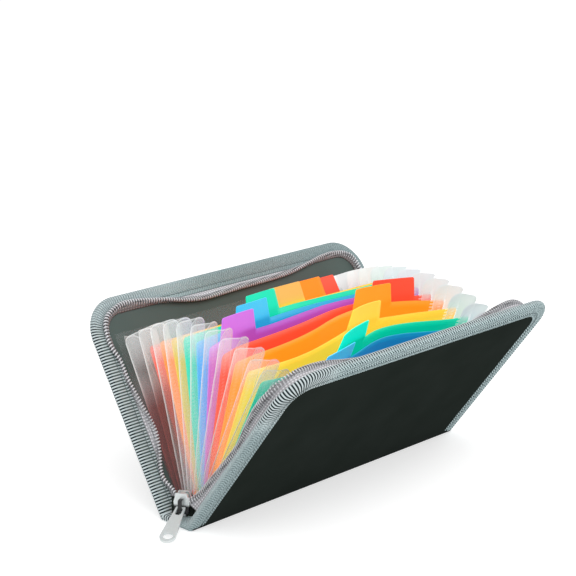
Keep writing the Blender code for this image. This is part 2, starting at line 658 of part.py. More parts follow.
def puller(seat):
    """A flat tag that tapers to its eye, with a round end and an oval hole."""
    pivot = body_empty("puller_pivot", (-PIVOT_OUT, 0, PIVOT_Z - SLIDER_FOOT_Z), (0, -PULLER_DROOP, 0), seat)
    neck, end = PULLER_NECK_WIDTH / 2, PULLER_END_WIDTH / 2
    tip = [(-u, v) for u, v in arc((PULLER_LENGTH - end, 0), end, math.pi / 2, -math.pi / 2, CORNER_SEGMENTS)]
    outline = [(PULLER_BAR, neck)] + tip + [(PULLER_BAR, -neck)]
    eye = [(-PULLER_BAR, -EYE_WIDTH / 2), (-PULLER_BAR, EYE_WIDTH / 2), (-PULLER_BAR - EYE_LENGTH, EYE_WIDTH / 2),
           (-PULLER_BAR - EYE_LENGTH, -EYE_WIDTH / 2)]
    eye_hole = rounded_outline(eye, [0, 0, EYE_WIDTH / 4, EYE_WIDTH / 4])
    centre = end - PULLER_LENGTH
    hole = [(centre + u * END_HOLE_WIDTH / END_HOLE_LENGTH, v) for u, v in
            arc((0, 0), END_HOLE_LENGTH / 2, 0, 2 * math.pi, 2 * CORNER_SEGMENTS)[:-1]]
    tag = plate("zip_puller", [outline, eye_hole, hole], PULLER_THICKNESS, 0, "zip_metal", pivot, rotation=(0, 0, 0))
    tag.location = (0, 0, 0)
    soften(to_mesh(tag), PULLER_EDGE)


def build():
    """Make every piece."""
    clear_scene()
    spine()
    front = body_empty("front_cover_hinge", (0, -HINGE_Y, HINGE_Z), (FRONT_OPEN_ANGLE, 0, 0))
    rear = body_empty("rear_cover_hinge", (0, HINGE_Y, HINGE_Z), (REAR_OPEN_ANGLE, 0, math.pi))
    cover("front", front, 1)
    cover("rear", rear, -1)
    for i in range(1, DIVIDER_COUNT + 1):
        divider(i)
    gusset("gusset_left", -1)
    gusset("gusset_right", 1)
    seat = zip_tail("zip_tail_left", -1, SLIDER_TURN)
    zip_tail("zip_tail_right", 1, math.pi - SLIDER_TURN)
    bottom_stop(seat)
    slider = body_empty("slider_seat", (-SLIDER_X, SLIDER_OFFSET, SLIDER_FOOT_Z), (0, 0, SLIDER_TURN))
    slider_body(slider)
    slider_bridge(slider)
    puller(slider)


build()
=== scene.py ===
# %% [markdown]
# # An expanding file folder that zips shut
#
# A pocket-size folder stands open in a V on its spine. Between two padded covers is an accordion of
# twelve coloured sheets, joined at both ends by pleated clear film. Half of a coil zip goes round each
# cover, and the closed slider stands at the left end of the spine.
#
# The imported CAD model is the skeleton. Every soft piece made here is dressed over it. Most ride on one of
# its bodies; the outer cloth and the binding, which go round the spine, stay where they are made.

# %% Load the frame
import json
import math

import bpy
import numpy as np
from mathutils import Matrix, Vector


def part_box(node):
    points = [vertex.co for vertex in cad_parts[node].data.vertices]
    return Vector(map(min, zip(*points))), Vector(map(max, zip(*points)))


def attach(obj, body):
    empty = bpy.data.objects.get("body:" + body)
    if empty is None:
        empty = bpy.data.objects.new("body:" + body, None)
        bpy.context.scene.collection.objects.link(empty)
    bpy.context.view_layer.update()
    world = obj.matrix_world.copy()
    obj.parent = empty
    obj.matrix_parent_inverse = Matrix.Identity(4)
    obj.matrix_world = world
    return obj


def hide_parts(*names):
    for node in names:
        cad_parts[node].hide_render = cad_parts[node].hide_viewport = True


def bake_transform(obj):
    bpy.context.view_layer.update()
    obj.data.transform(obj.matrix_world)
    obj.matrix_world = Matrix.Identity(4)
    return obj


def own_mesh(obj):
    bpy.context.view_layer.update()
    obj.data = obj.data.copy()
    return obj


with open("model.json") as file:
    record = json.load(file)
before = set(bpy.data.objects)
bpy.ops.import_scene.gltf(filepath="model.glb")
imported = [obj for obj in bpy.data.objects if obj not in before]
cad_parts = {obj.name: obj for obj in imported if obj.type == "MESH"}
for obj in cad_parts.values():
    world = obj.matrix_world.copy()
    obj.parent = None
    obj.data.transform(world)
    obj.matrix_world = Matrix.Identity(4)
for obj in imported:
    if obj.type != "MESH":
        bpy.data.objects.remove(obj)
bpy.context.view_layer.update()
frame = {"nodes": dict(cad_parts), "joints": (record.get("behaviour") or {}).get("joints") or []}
joints = {joint["name"]: joint for joint in frame["joints"]}

# %% [markdown]
# Every place on the case is easiest to give as a seamstress would: so far along the spine, so far up the
# cover, so far in from its outer face. `on_cover` turns those three lengths into a point, from the fold's
# own axis and angle, so nothing has to be fitted by eye.

# %% Places on a cover
MM = 0.001
FRONT = -1
REAR = 1
SIDES = (FRONT, REAR)
SIDE_NAMES = {FRONT: "front", REAR: "rear"}
fold = {side: joints[f"{SIDE_NAMES[side]}_cover_fold"] for side in SIDES}
lean = {side: math.radians(fold[side]["range_deg"][1]) for side in SIDES}
HINGE_Y = abs(fold[FRONT]["pos_m"][1])
HINGE_Z = fold[FRONT]["pos_m"][2]


def on_cover(side, along, up, inward):
    """A point on a cover: along the spine, up from the fold, and inward from the outer face."""
    depth = inward - HINGE_Z
    y = HINGE_Y - depth * math.cos(lean[side]) + up * math.sin(lean[side])
    z = HINGE_Z + depth * math.sin(lean[side]) + up * math.cos(lean[side])
    return (along, side * y, z)


for side in SIDES:
    print(SIDE_NAMES[side], "cover leans", round(math.degrees(lean[side]), 1), "degrees")

# %% [markdown]
# The case is a pair of stiff rectangles with two round corners each, bound in webbing. Its width is read
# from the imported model, so the soft pieces can't drift from it. The few other sizes that every piece
# shares are named once here, and a change of one of them then moves everything that depends on it.

# %% Sizes of the case
HALF_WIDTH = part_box("front_binding")[1][0]
COVER_HEIGHT = 101.5 * MM  # from the fold to the top edge
CORNER_RADIUS = 18 * MM
STRAIGHT_HALF = HALF_WIDTH - CORNER_RADIUS  # from the middle to where a corner starts
STRAIGHT_TOP = COVER_HEIGHT - CORNER_RADIUS  # from the fold to where a corner starts
BINDING_WIDTH = 8.5 * MM
STACK = 3.7 * MM  # thickness of a cover at its bound edge
print("case", round(2 * HALF_WIDTH / MM, 1), "mm wide")

# %% [markdown]
# ## Meshes from rows of points
#
# Cloth, film and tape are all sheets that were once flat. A grid of points is the natural mesh for them:
# one row after another, joined into four-sided faces. A tube is the same grid, closed round.

# %% A mesh from rows of points
def mesh_object(name, points, faces, material):
    """A mesh object with smooth faces."""
    mesh = bpy.data.meshes.new(name)
    mesh.from_pydata([tuple(point) for point in points], [], faces)
    mesh.update()
    mesh.shade_smooth()
    obj = bpy.data.objects.new(name, mesh)
    bpy.context.scene.collection.objects.link(obj)
    mesh.materials.append(material)
    return obj


def grid_faces(rows, columns, first=0, closed=False, flip=False):
    """Faces that join rows of points; closed joins the last column to the first."""
    faces = []
    for row in range(rows - 1):
        for column in range(columns if closed else columns - 1):
            a = first + row * columns + column
            b = first + row * columns + (column + 1) % columns
            face = (a, b, b + columns, a + columns)
            faces.append(face[::-1] if flip else face)
    return faces


def sheet_mesh(name, rows, material, flip=False):
    """One sheet from a list of rows of points."""
    points = [point for row in rows for point in row]
    return mesh_object(name, points, grid_faces(len(rows), len(rows[0]), flip=flip), material)


def thicken(obj, thickness):
    """Give a sheet its thickness, half of it to each side."""
    modifier = obj.modifiers.new("thickness", "SOLIDIFY")
    modifier.thickness = thickness
    modifier.offset = 0
    modifier.use_even_offset = False
    return obj


print("mesh helpers ready")

# %% [markdown]
# A weave or a row of welds follows its cloth, not the room. So each point of a mesh can also keep numbers
# for its material: how deep in a gap it lies, or where on the flat cloth it was before it was bent.

# %% Numbers that a mesh keeps for its material
def give_values(obj, name, values):
    """Keep one number for each point."""
    attribute = obj.data.attributes.new(name, "FLOAT", "POINT")
    attribute.data.foreach_set("value", np.asarray(values, dtype=np.float32))


def give_places(obj, places):
    """Keep the place of each point on its flat cloth, in metres."""
    attribute = obj.data.attributes.new("cloth", "FLOAT_VECTOR", "POINT")
    attribute.data.foreach_set("vector", np.asarray(places, dtype=np.float32).ravel())


def smooth_step(value, low, high):
    """0 below low, 1 above high, and a soft change between."""
    share = min(max((value - low) / (high - low), 0), 1)
    return share * share * (3 - 2 * share)


print("a soft step half way:", smooth_step(0.5, 0, 1))

# %% [markdown]
# ## Finishes
#
# Each finish starts from Blender's Principled shader. What makes cloth read as cloth is its structure at
# the right size, so the helpers below build threads and ribs from wave and noise textures.

# %% Building blocks for the finishes
def finish(name, colour, roughness=0.5, glow=0.0, **sockets):
    """A Principled material with its uniform values set on the shader's own sockets."""
    material = bpy.data.materials.new(name)
    material.use_nodes = True
    shader = material.node_tree.nodes["Principled BSDF"]
    shader.inputs["Base Color"].default_value = (*colour, 1)
    shader.inputs["Roughness"].default_value = roughness
    shader.inputs["Emission Color"].default_value = (*colour, 1)
    shader.inputs["Emission Strength"].default_value = glow
    for socket, value in sockets.items():
        shader.inputs[socket.replace("_", " ").title().replace("Ior", "IOR")].default_value = value
    return material


def node(material, kind, **values):
    """Add a node and set its properties or inputs by name."""
    made = material.node_tree.nodes.new(kind)
    for key, value in values.items():
        if key in made.inputs:
            made.inputs[key].default_value = value
        else:
            setattr(made, key, value)
    return made


def link(material, source, target):
    """Join an output to an input."""
    material.node_tree.links.new(source, target)


def to_shader(material, output, socket="Base Color"):
    """Feed a socket of the Principled shader."""
    link(material, output, material.node_tree.nodes["Principled BSDF"].inputs[socket])


print("building blocks ready")

# %% [markdown]
# A pattern needs to know where it is. `in_space` gives places in the room, which is enough for an even
# grain, and `kept` reads what the mesh keeps. `calc` joins such numbers by one step of arithmetic.

# %% Places and arithmetic for the finishes
def in_space(material):
    """Object coordinates."""
    return node(material, "ShaderNodeTexCoord").outputs["Object"]


def kept(material, name="cloth"):
    """A number that the mesh keeps, or the place on its cloth."""
    made = node(material, "ShaderNodeAttribute", attribute_name=name)
    return made.outputs["Vector" if name == "cloth" else "Fac"]


def calc(material, operation, *values):
    """One step of arithmetic on numbers or outputs."""
    made = node(material, "ShaderNodeMath", operation=operation)
    for socket, value in zip(made.inputs, values):
        if isinstance(value, (int, float)):
            socket.default_value = value
        else:
            link(material, value, socket)
    return made.outputs[0]


print("places and arithmetic ready")

# %% [markdown]
# Cloth, webbing and tape are threads that repeat. A wave texture repeats evenly, so it gives threads, ribs
# and dots. A noise texture never repeats, so it gives the unevenness that keeps a finish from looking
# printed. A picture of real cloth could do both, but it would blur from close by and show its seams.

# %% Patterns for the finishes
def mix_colours(material, share, first, second):
    """A colour between two, by a share from 0 to 1."""
    mixed = node(material, "ShaderNodeMix", data_type="RGBA")
    if isinstance(share, float):
        mixed.inputs[0].default_value = share
    else:
        link(material, share, mixed.inputs[0])
    for socket, colour in ((mixed.inputs[6], first), (mixed.inputs[7], second)):
        if isinstance(colour, tuple):
            socket.default_value = (*colour, 1)
        else:
            link(material, colour, socket)
    return mixed.outputs[2]


def bump(material, height, distance, strength=1.0):
    """Raise the surface by a height texture; distance is in metres."""
    made = node(material, "ShaderNodeBump", Strength=strength, Distance=distance)
    link(material, height, made.inputs["Height"])
    to_shader(material, made.outputs["Normal"], "Normal")


def wave(material, vector, pitch, direction="X"):
    """Threads or ribs: a wave that repeats once in each pitch."""
    factor = 5 if direction == "DIAGONAL" else 10  # the texture multiplies a distance by twice this
    made = node(material, "ShaderNodeTexWave", bands_direction=direction, Scale=math.pi / factor / pitch)
    link(material, vector, made.inputs["Vector"])
    return made.outputs["Fac"]


def speckle(material, vector, size, detail=2.0):
    """Soft noise whose spots are about the given size."""
    made = node(material, "ShaderNodeTexNoise", Scale=1 / size, Detail=detail)
    link(material, vector, made.inputs["Vector"])
    return made.outputs["Fac"]


def sharper(material, value, low, high):
    """Stretch a soft value so that it runs from 0 to 1 between two levels."""
    made = node(material, "ShaderNodeMapRange", **{"From Min": low, "From Max": high})
    link(material, value, made.inputs["Value"])
    return made.outputs[0]


print("patterns ready")

# %% [markdown]
# ### Cloth of the case
#
# The covers are a tight, dark synthetic cloth, almost smooth from half a metre away. Two fine waves at
# right angles give its threads, and a slow noise keeps the dark from being one flat value.

# %% Dark cloth and lining
def woven(name, colour, lighter, pitch, relief, roughness):
    """A plain weave: two sets of threads at right angles, with a little unevenness."""
    cloth = finish(name, colour, roughness, specular_ior_level=0.0)
    space = in_space(cloth)
    threads = calc(cloth, "MAXIMUM", wave(cloth, space, pitch, "X"), wave(cloth, space, pitch, "Z"))
    bump(cloth, threads, relief)
    to_shader(cloth, mix_colours(cloth, speckle(cloth, space, 22 * MM, 3.0), colour, lighter))
    return cloth


OUTER_CLOTH = woven("outer_cloth_weave", (0.0115, 0.0155, 0.013), (0.019, 0.0235, 0.021),
                    pitch=0.45 * MM, relief=0.02 * MM, roughness=0.5)
LINING_CLOTH = woven("lining_weave", (0.076, 0.101, 0.093), (0.094, 0.119, 0.11),
                     pitch=0.4 * MM, relief=0.015 * MM, roughness=0.6)
print("cloth finishes:", OUTER_CLOTH.name, LINING_CLOTH.name)

# %% [markdown]
# ### Binding
#
# The edge is bound with a ribbed webbing. Where it goes round a bend its ribs open, and painted shade
# darkens the gaps between them. The ribs are real geometry there, and each point keeps how deep in a gap it
# lies, which sets how dark that painted shade is. Elsewhere the threads cross in small chevrons, light over
# dark, which follow the webbing and fade where it is plain.

# %% Binding webbing
YARN_DARK = (0.018, 0.042, 0.048)
YARN_LIGHT = (0.48, 0.59, 0.6)
RIB_LIGHT = (0.56, 0.63, 0.64)
# Painted shade for the gaps between open ribs and for the groove of the seam.
GAP_SHADE = (0.01, 0.02, 0.024)
TWILL_PITCH = 1.5 * MM


def webbing():
    """Grey-green ribbed webbing, with painted shade deep in the rib gaps and in the groove of the seam."""
    cloth = finish("binding_webbing", (0.27, 0.36, 0.37), 0.8, specular_ior_level=0.1)
    mirrored = node(cloth, "ShaderNodeVectorMath", operation="ABSOLUTE")
    link(cloth, kept(cloth), mirrored.inputs[0])
    twill = wave(cloth, mirrored.outputs[0], TWILL_PITCH, "DIAGONAL")
    fleck = speckle(cloth, in_space(cloth), 0.7 * MM, 3.0)
    pattern = sharper(cloth, calc(cloth, "ADD", calc(cloth, "MULTIPLY", twill, 0.6), fleck), 0.7, 0.88)
    plain = calc(cloth, "ADD", calc(cloth, "MULTIPLY", fleck, 0.5), 0.16)
    weave = node(cloth, "ShaderNodeMix")
    for socket, source in zip((0, 2, 3), (kept(cloth, "weave"), plain, pattern)):
        link(cloth, source, weave.inputs[socket])
    yarn = mix_colours(cloth, weave.outputs[0], YARN_DARK, YARN_LIGHT)
    bright = mix_colours(cloth, kept(cloth, "open"), yarn, RIB_LIGHT)
    # Painted shade: the deeper a point lies in a gap, the darker it is.
    gap = sharper(cloth, kept(cloth, "gap"), 0.28, 0.62)
    to_shader(cloth, mix_colours(cloth, gap, bright, GAP_SHADE))
    bump(cloth, twill, 0.06 * MM)
    return cloth


WEBBING = webbing()
print("webbing ready, one chevron in", round(TWILL_PITCH / MM, 1), "mm")

# %% [markdown]
# ### Zip, slider and boards
#
# A zip is woven tape, nylon thread and die-cast metal. The tape's weave is two waves multiplied together,
# which leaves a small dot wherever they cross. Nylon is a smooth plastic with a grain too fine to see as
# shape. The plated slider is worn by fingers, so its roughness varies: an even grey would look like
# plastic.

# %% Tape, thread and boards
def zip_tape(name, light, dark):
    """Thin woven tape with rows of small raised dots."""
    tape = finish(name, light, 0.75, specular_ior_level=0.15)
    place = kept(tape)
    lengthwise = wave(tape, place, 1.6 * MM, "X")
    crosswise = wave(tape, place, 1.15 * MM, "Y")
    dots = calc(tape, "MULTIPLY", lengthwise, crosswise)
    bump(tape, dots, 0.12 * MM)
    to_shader(tape, mix_colours(tape, sharper(tape, dots, 0.1, 0.6), dark, light))
    return tape


def moulded(name, colour, darker, roughness):
    """Moulded or drawn plastic with a faint grain."""
    plastic = finish(name, colour, roughness)
    spots = speckle(plastic, in_space(plastic), 1.5 * MM, 3.0)
    bump(plastic, spots, 0.02 * MM)
    to_shader(plastic, mix_colours(plastic, spots, darker, colour))
    return plastic


print("tape and plastic ready")

# %% Nylon and metal
def coil_nylon():
    """Pale nylon, with painted shade where the turns go under the sewing thread and on the sides where
    neighbouring turns touch.
    """
    nylon = finish("coil_nylon", (0.75, 0.74, 0.79), 0.35)
    to_shader(nylon, mix_colours(nylon, kept(nylon, "gap"), (0.84, 0.84, 0.87), (0.07, 0.07, 0.077)))
    bump(nylon, speckle(nylon, in_space(nylon), 0.5 * MM), 0.02 * MM)
    return nylon


def cast_metal():
    """Plated die-cast metal, softly brushed by handling."""
    metal = finish("slider_metal", (0.66, 0.69, 0.7), 0.34, metallic=0.45)
    marks = speckle(metal, in_space(metal), 0.9 * MM, 5.0)
    to_shader(metal, calc(metal, "MULTIPLY_ADD", marks, 0.16, 0.28), "Roughness")
    to_shader(metal, mix_colours(metal, marks, (0.56, 0.6, 0.6), (0.68, 0.72, 0.72)))
    bump(metal, marks, 0.01 * MM)
    return metal


TAPE = zip_tape("zip_tape_outer", (0.7, 0.69, 0.72), (0.36, 0.35, 0.37))
# The inner face of the tape: the same tape painted darker and browner, as shade.
TAPE_BACK_SHADED = zip_tape("zip_tape_inner_shaded", (0.29, 0.26, 0.26), (0.15, 0.13, 0.13))
NYLON = coil_nylon()
# Black for the slider's bridge: painted shadow.
SHADOW_BLACK = moulded("black_painted_shadow", (0.012, 0.012, 0.014), (0.008, 0.008, 0.009), 0.3)
METAL = cast_metal()
BOARD = moulded("grey_board", (0.32, 0.28, 0.23), (0.25, 0.22, 0.18), 0.85)
THREAD = moulded("sewing_thread", (0.2, 0.26, 0.27), (0.12, 0.16, 0.17), 0.7)
print("zip finishes ready")

# %% [markdown]
# ### Film and sheets
#
# The gussets are clear film, which veils what is behind it a little with every layer. It is painted white,
# as highlights, where it is folded, cut or welded. Each point of the film keeps how opaque it is there. The
# sheets are thick translucent plastic: light that comes through them makes them glow, most of all in the
# tabs. Light could be traced through film that bends it as real plastic does, but with so many layers one
# behind another the picture would take far longer to come out clean.

# %% Film and sheet finishes
def film(name, veil_colour, glow, highlight_colour, painted_tint_colour):
    """Clear film that shows as much of itself as each point says, and takes a painted tint of shade or red
    light as far as each point says.
    """
    clear = finish(name, veil_colour, 0.3, glow, specular_ior_level=0.4)
    to_shader(clear, kept(clear, "opacity"), "Alpha")
    # Painted highlights: where the film is opaque it takes the highlight colour.
    veil = mix_colours(clear, sharper(clear, kept(clear, "opacity"), 0.75, 0.9), veil_colour, highlight_colour)
    # Painted tint: shade, or red light from the sheets, as far as each point says.
    to_shader(clear, mix_colours(clear, kept(clear, "tint"), veil, painted_tint_colour))
    bump(clear, speckle(clear, in_space(clear), 9 * MM), 0.4 * MM, 0.4)
    return clear


WELD_COLUMNS = ((62.6 * MM, 1.0 * MM), (67 * MM, 0.8 * MM))  # distance from the middle, and half width
WELD_PITCH = 1.7 * MM
WELD_COLOUR = (1.0, 0.93, 0.9)


def sheet_finish(name, colour, lit_tab_colour, glow):
    """Satin translucent sheet with a lighter tab and two columns of weld dashes near each end."""
    plastic = finish(name, colour, 0.45, glow, subsurface_weight=0.1, subsurface_scale=0.004,
                     specular_ior_level=0.3)
    place = node(plastic, "ShaderNodeSeparateXYZ")
    link(plastic, kept(plastic), place.inputs[0])
    from_middle = calc(plastic, "ABSOLUTE", place.outputs[0])
    columns = []
    for at, half in WELD_COLUMNS:
        off = calc(plastic, "ABSOLUTE", calc(plastic, "SUBTRACT", from_middle, at))
        columns.append(calc(plastic, "LESS_THAN", off, half))
    dash = calc(plastic, "GREATER_THAN", wave(plastic, kept(plastic), WELD_PITCH, "Y"), 0.45)
    at_right = calc(plastic, "GREATER_THAN", place.outputs[0], 0.0)
    strength = calc(plastic, "MULTIPLY_ADD", at_right, 0.22, 0.1)
    dashes = calc(plastic, "MULTIPLY", calc(plastic, "ADD", *columns), dash)
    weld = calc(plastic, "MULTIPLY", dashes, strength)
    # Painted light: the brighter, lit colour, by the share that each point keeps.
    body = mix_colours(plastic, kept(plastic, "tab"), colour, lit_tab_colour)
    seen = mix_colours(plastic, weld, body, WELD_COLOUR)
    to_shader(plastic, seen, "Emission Color")
    to_shader(plastic, mix_colours(plastic, 0.25, seen, (0.0, 0.0, 0.0)))
    bump(plastic, speckle(plastic, in_space(plastic), 0.5 * MM), 0.01 * MM)
    return plastic


print("film and sheet finishes ready")

# %% [markdown]
# The left gusset is clear, with white lines, painted highlights, where it is folded or cut. Low down it is
# painted dark red, as shade mixed with red light from the first sheet. The right one is seen through all its
# layers at once, so it reads as one pale veil, painted darker along its folds as shade and glowing as painted
# light to even out its shading. The sheets' colours come as pairs: the sheet's own, and the brighter lit one,
# painted where light falls: on its tab, which stands free in the light, and towards its left end.

# %% Colours of the film and the sheets
# Both films glow, as painted light: a little on the left, and strongly on the right, where it evens out the
# shading of the veil.
FILM = film("gusset_film", (0.8, 0.82, 0.82), 0.05, (0.92, 0.94, 0.94), (0.2, 0.035, 0.03))
MILKY_FILM = film("milky_gusset_film", (0.56, 0.59, 0.59), 0.5, (0.56, 0.59, 0.59), (0.42, 0.45, 0.45))
SHEET_COLOURS = {
    "red": ((0.95, 0.085, 0.04), (0.94, 0.09, 0.05)),
    "orange": ((0.98, 0.25, 0.006), (0.98, 0.34, 0.025)),
    "yellow": ((0.98, 0.44, 0.02), (0.98, 0.58, 0.06)),
    "amber": ((0.98, 0.56, 0.03), (0.86, 0.44, 0.1)),
    "green": ((0.0, 0.6, 0.34), (0.0, 0.95, 0.64)),
    "blue": ((0.0, 0.29, 0.52), (0.06, 0.66, 0.98)),
    "purple": ((0.37, 0.06, 0.46), (0.6, 0.19, 0.82)),
}
# Each sheet glows, as painted light that stands in for light coming through it.
PLAIN_GLOW = 0.42
GLOWS = {"yellow": 0.66, "green": 0.5, "red": 0.36}
SHEETS = {}
for name, pair in SHEET_COLOURS.items():
    SHEETS[name] = sheet_finish(f"sheet_{name}", *pair, GLOWS.get(name, PLAIN_GLOW))
print("sheet finishes:", ", ".join(SHEETS))

# %% [markdown]
# ## The edge of the case
#
# The cloth, the binding and the zip all follow one line: from the middle of the spine's end, out to the
# fold, up the side of a cover, round two corners and down again. `edge_line` walks along it and gives, at
# each step, how far along the spine and up the cover the edge is, and which way is inwards.

# %% The edge line
def edge_line(step):
    """Points (along, up, inward x, inward up) round three sides of a cover, and the length of that line."""
    quarter = math.pi / 2 * CORNER_RADIUS
    lengths = [STRAIGHT_TOP, quarter, 2 * STRAIGHT_HALF, quarter, STRAIGHT_TOP]
    total = sum(lengths)
    count = round(total / step)
    places = []
    for index in range(count + 1):
        walked = total * index / count
        stage = 0
        while stage < 4 and walked > lengths[stage]:
            walked -= lengths[stage]
            stage += 1
        if stage == 0:
            places.append((-HALF_WIDTH, walked, 1, 0))
        elif stage == 2:
            places.append((-STRAIGHT_HALF + walked, COVER_HEIGHT, 0, -1))
        elif stage == 4:
            places.append((HALF_WIDTH, STRAIGHT_TOP - walked, -1, 0))
        else:
            turn = walked / CORNER_RADIUS + (math.pi / 2 if stage == 3 else 0)
            centre = STRAIGHT_HALF if stage == 3 else -STRAIGHT_HALF
            across, rise = math.cos(turn), math.sin(turn)
            places.append((centre - CORNER_RADIUS * across, STRAIGHT_TOP + CORNER_RADIUS * rise,
                           across, -rise))
    return places, total


EDGE_LENGTH = edge_line(2 * MM)[1]
print("edge of one cover:", round(EDGE_LENGTH / MM), "mm")

# %% [markdown]
# Below the cover the same line goes on round the rolled fold and under the spine to its middle. `wrapped`
# takes a distance from the fold and a depth below the outer face, and bends it round the roll, so that one
# piece of cloth can cover spine and cover without a seam.

# %% Round the fold to the spine
ROLL = HINGE_Z  # the roll rests on the floor, so its radius is the height of the fold's axis
ROLL_ANGLE = {side: math.pi / 2 - lean[side] for side in SIDES}
ROLL_ARC = {side: ROLL * ROLL_ANGLE[side] for side in SIDES}
INNER_RISE = 3.2 * MM  # how high the inner leg of the binding lies on the spine


def wrapped(side, along, beyond, inward):
    """A point below a cover's foot: beyond is its distance from the foot, round the roll to the spine."""
    arc = ROLL_ARC[side]
    if inward <= ROLL:
        turn = min(beyond / arc, 1) * ROLL_ANGLE[side]
        radius = ROLL - inward
        angle = lean[side] + turn
        y = HINGE_Y + radius * math.cos(angle)
        z = HINGE_Z - radius * math.sin(angle)
        y -= max(beyond - arc, 0)
        return (along, side * y, z)
    depth = inward - ROLL
    corner = depth * (1 - math.sin(lean[side])) / math.cos(lean[side])
    if beyond <= arc:
        return on_cover(side, along, corner, inward)
    y = HINGE_Y - depth * math.cos(lean[side]) + corner * math.sin(lean[side])
    y = min(y, HINGE_Y - (beyond - arc))
    return (along, side * y, min(inward, INNER_RISE))


def bend_with_spine(obj, side):
    """Bake the place of a piece that starts on the spine and goes round the fold into a cover; it does not
    bend as the folder shuts.
    """
    wrapped(side, 0, ROLL_ARC[side], 0)
    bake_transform(obj)


print("roll arcs:", [round(ROLL_ARC[side] / MM, 2) for side in SIDES], "mm")

# %% [markdown]
# ## Outer cloth
#
# The cloth is stretched over a stiff board, with a thin pad under it. It is nearly flat, a touch fuller in
# the middle, and sinks where the binding holds it down. A flat plate would look like card, so the fullness
# is worth its few extra points.

# %% A cloth face
CLOTH_STEP = 3 * MM
CLOTH_COLUMNS = 61
CLOTH_REST = 0.62 * MM  # how deep it lies where the binding holds it down
CLOTH_CROWN = 0.4 * MM  # how much fuller it is in the middle
CLOTH_UNDER = 0.08 * MM  # how deep it lies under the spine
CROWN_REACH = 12 * MM
FOOT_REACH = 6 * MM


def cloth_face(side, name, depth, crown, foot, inset, material, below):
    """A sheet over one face of a cover; with below, it goes on round the fold to the spine's middle."""
    half = HALF_WIDTH - inset
    across = [2 * k / (CLOTH_COLUMNS - 1) - 1 for k in range(CLOTH_COLUMNS)]
    rows = []
    if below:
        reach = ROLL_ARC[side] + HINGE_Y
        steps = [reach, reach * 0.7, reach * 0.4] + [ROLL_ARC[side] * k / 5 for k in (6, 5, 4, 3, 2, 1)]
        for beyond in steps:
            rows.append([wrapped(side, half * share, beyond, CLOTH_UNDER) for share in across])
    count = round((COVER_HEIGHT - inset - foot) / CLOTH_STEP)
    radius = CORNER_RADIUS - inset
    for row in range(count + 1):
        up = foot + (COVER_HEIGHT - inset - foot) * row / count
        over = max(up - STRAIGHT_TOP, 0)
        width = half - radius + math.sqrt(max(radius ** 2 - over ** 2, 0)) if over > 0 else half
        line = []
        for share in across:
            along = width * math.sin(math.pi / 2 * share)
            edge = min(half - abs(along), COVER_HEIGHT - inset - up, CROWN_REACH) / CROWN_REACH
            low = min(max(up - foot, 0) / FOOT_REACH, 1) if below else 1
            settle = math.sin(math.pi / 2 * max(edge, 0)) * low
            rest = CLOTH_UNDER + (depth - CLOTH_UNDER) * low if below else depth
            line.append(on_cover(side, along, up, rest - crown * settle))
        rows.append(line)
    return sheet_mesh(name, rows, material, flip=(side == FRONT))


print("rows of cloth on a cover:", round(COVER_HEIGHT / CLOTH_STEP))

# %% [markdown]
# The lining is the same kind of sheet on the inner face. It has no pad under it, so it stays flat, and it
# stops at the fold: the spine has a strip of its own.

# %% Outer cloth and linings of the covers
CLOTH_INSET = 2 * MM
LINING_REST = 3.3 * MM
LINING_FOOT = 0.6 * MM
for side in SIDES:
    word = SIDE_NAMES[side]
    cloth = cloth_face(side, f"{word}_outer_cloth", CLOTH_REST, CLOTH_CROWN, 0.0, CLOTH_INSET, OUTER_CLOTH,
                       below=True)
    thicken(cloth, 0.3 * MM)
    bend_with_spine(cloth, side)
    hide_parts(f"{word}_cover_cloth", *(["spine_panel"] if side == FRONT else []))
    lining = cloth_face(side, f"{word}_lining", LINING_REST, 0.0, LINING_FOOT, CLOTH_INSET, LINING_CLOTH,
                        below=False)
    thicken(lining, 0.4 * MM)
    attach(lining, f"{word}_cover")
    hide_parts(f"{word}_cover_lining")
    print(cloth.name, len(cloth.data.vertices), "points,", lining.name, len(lining.data.vertices), "points")

# %% Lining of the spine
SPINE_LINING_HIGH = 2.95 * MM
SPINE_LINING_HALF = 7 * MM
spine_rows = []
for y in np.linspace(-SPINE_LINING_HALF, SPINE_LINING_HALF, 7):
    places = np.linspace(-HALF_WIDTH + CLOTH_INSET, HALF_WIDTH - CLOTH_INSET, 30)
    spine_rows.append([(along, y, SPINE_LINING_HIGH) for along in places])
spine_lining = thicken(sheet_mesh("spine_lining_cloth", spine_rows, LINING_CLOTH), 0.4 * MM)
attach(spine_lining, "spine")
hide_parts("spine_lining")
print("spine lined,", round(2 * SPINE_LINING_HALF / MM), "mm wide")

# %% [markdown]
# ## Binding
#
# The webbing is folded over the edge in a U and sewn through. Sweeping a U-shaped section along the edge
# line gives it, and its ribs are a ripple in the section's depth. A straight strip bent along a curve would
# do as well, but its ribs would be squeezed at the corners. Up the rear cover's left side and round the
# corners the ribs stand open. On the front cover they open over the edge and the inner leg only.

# %% Section of the binding
EDGE_ROUND = STACK / 2
EDGE_FACETS = 6
SEAM_AT = 6.3 * MM


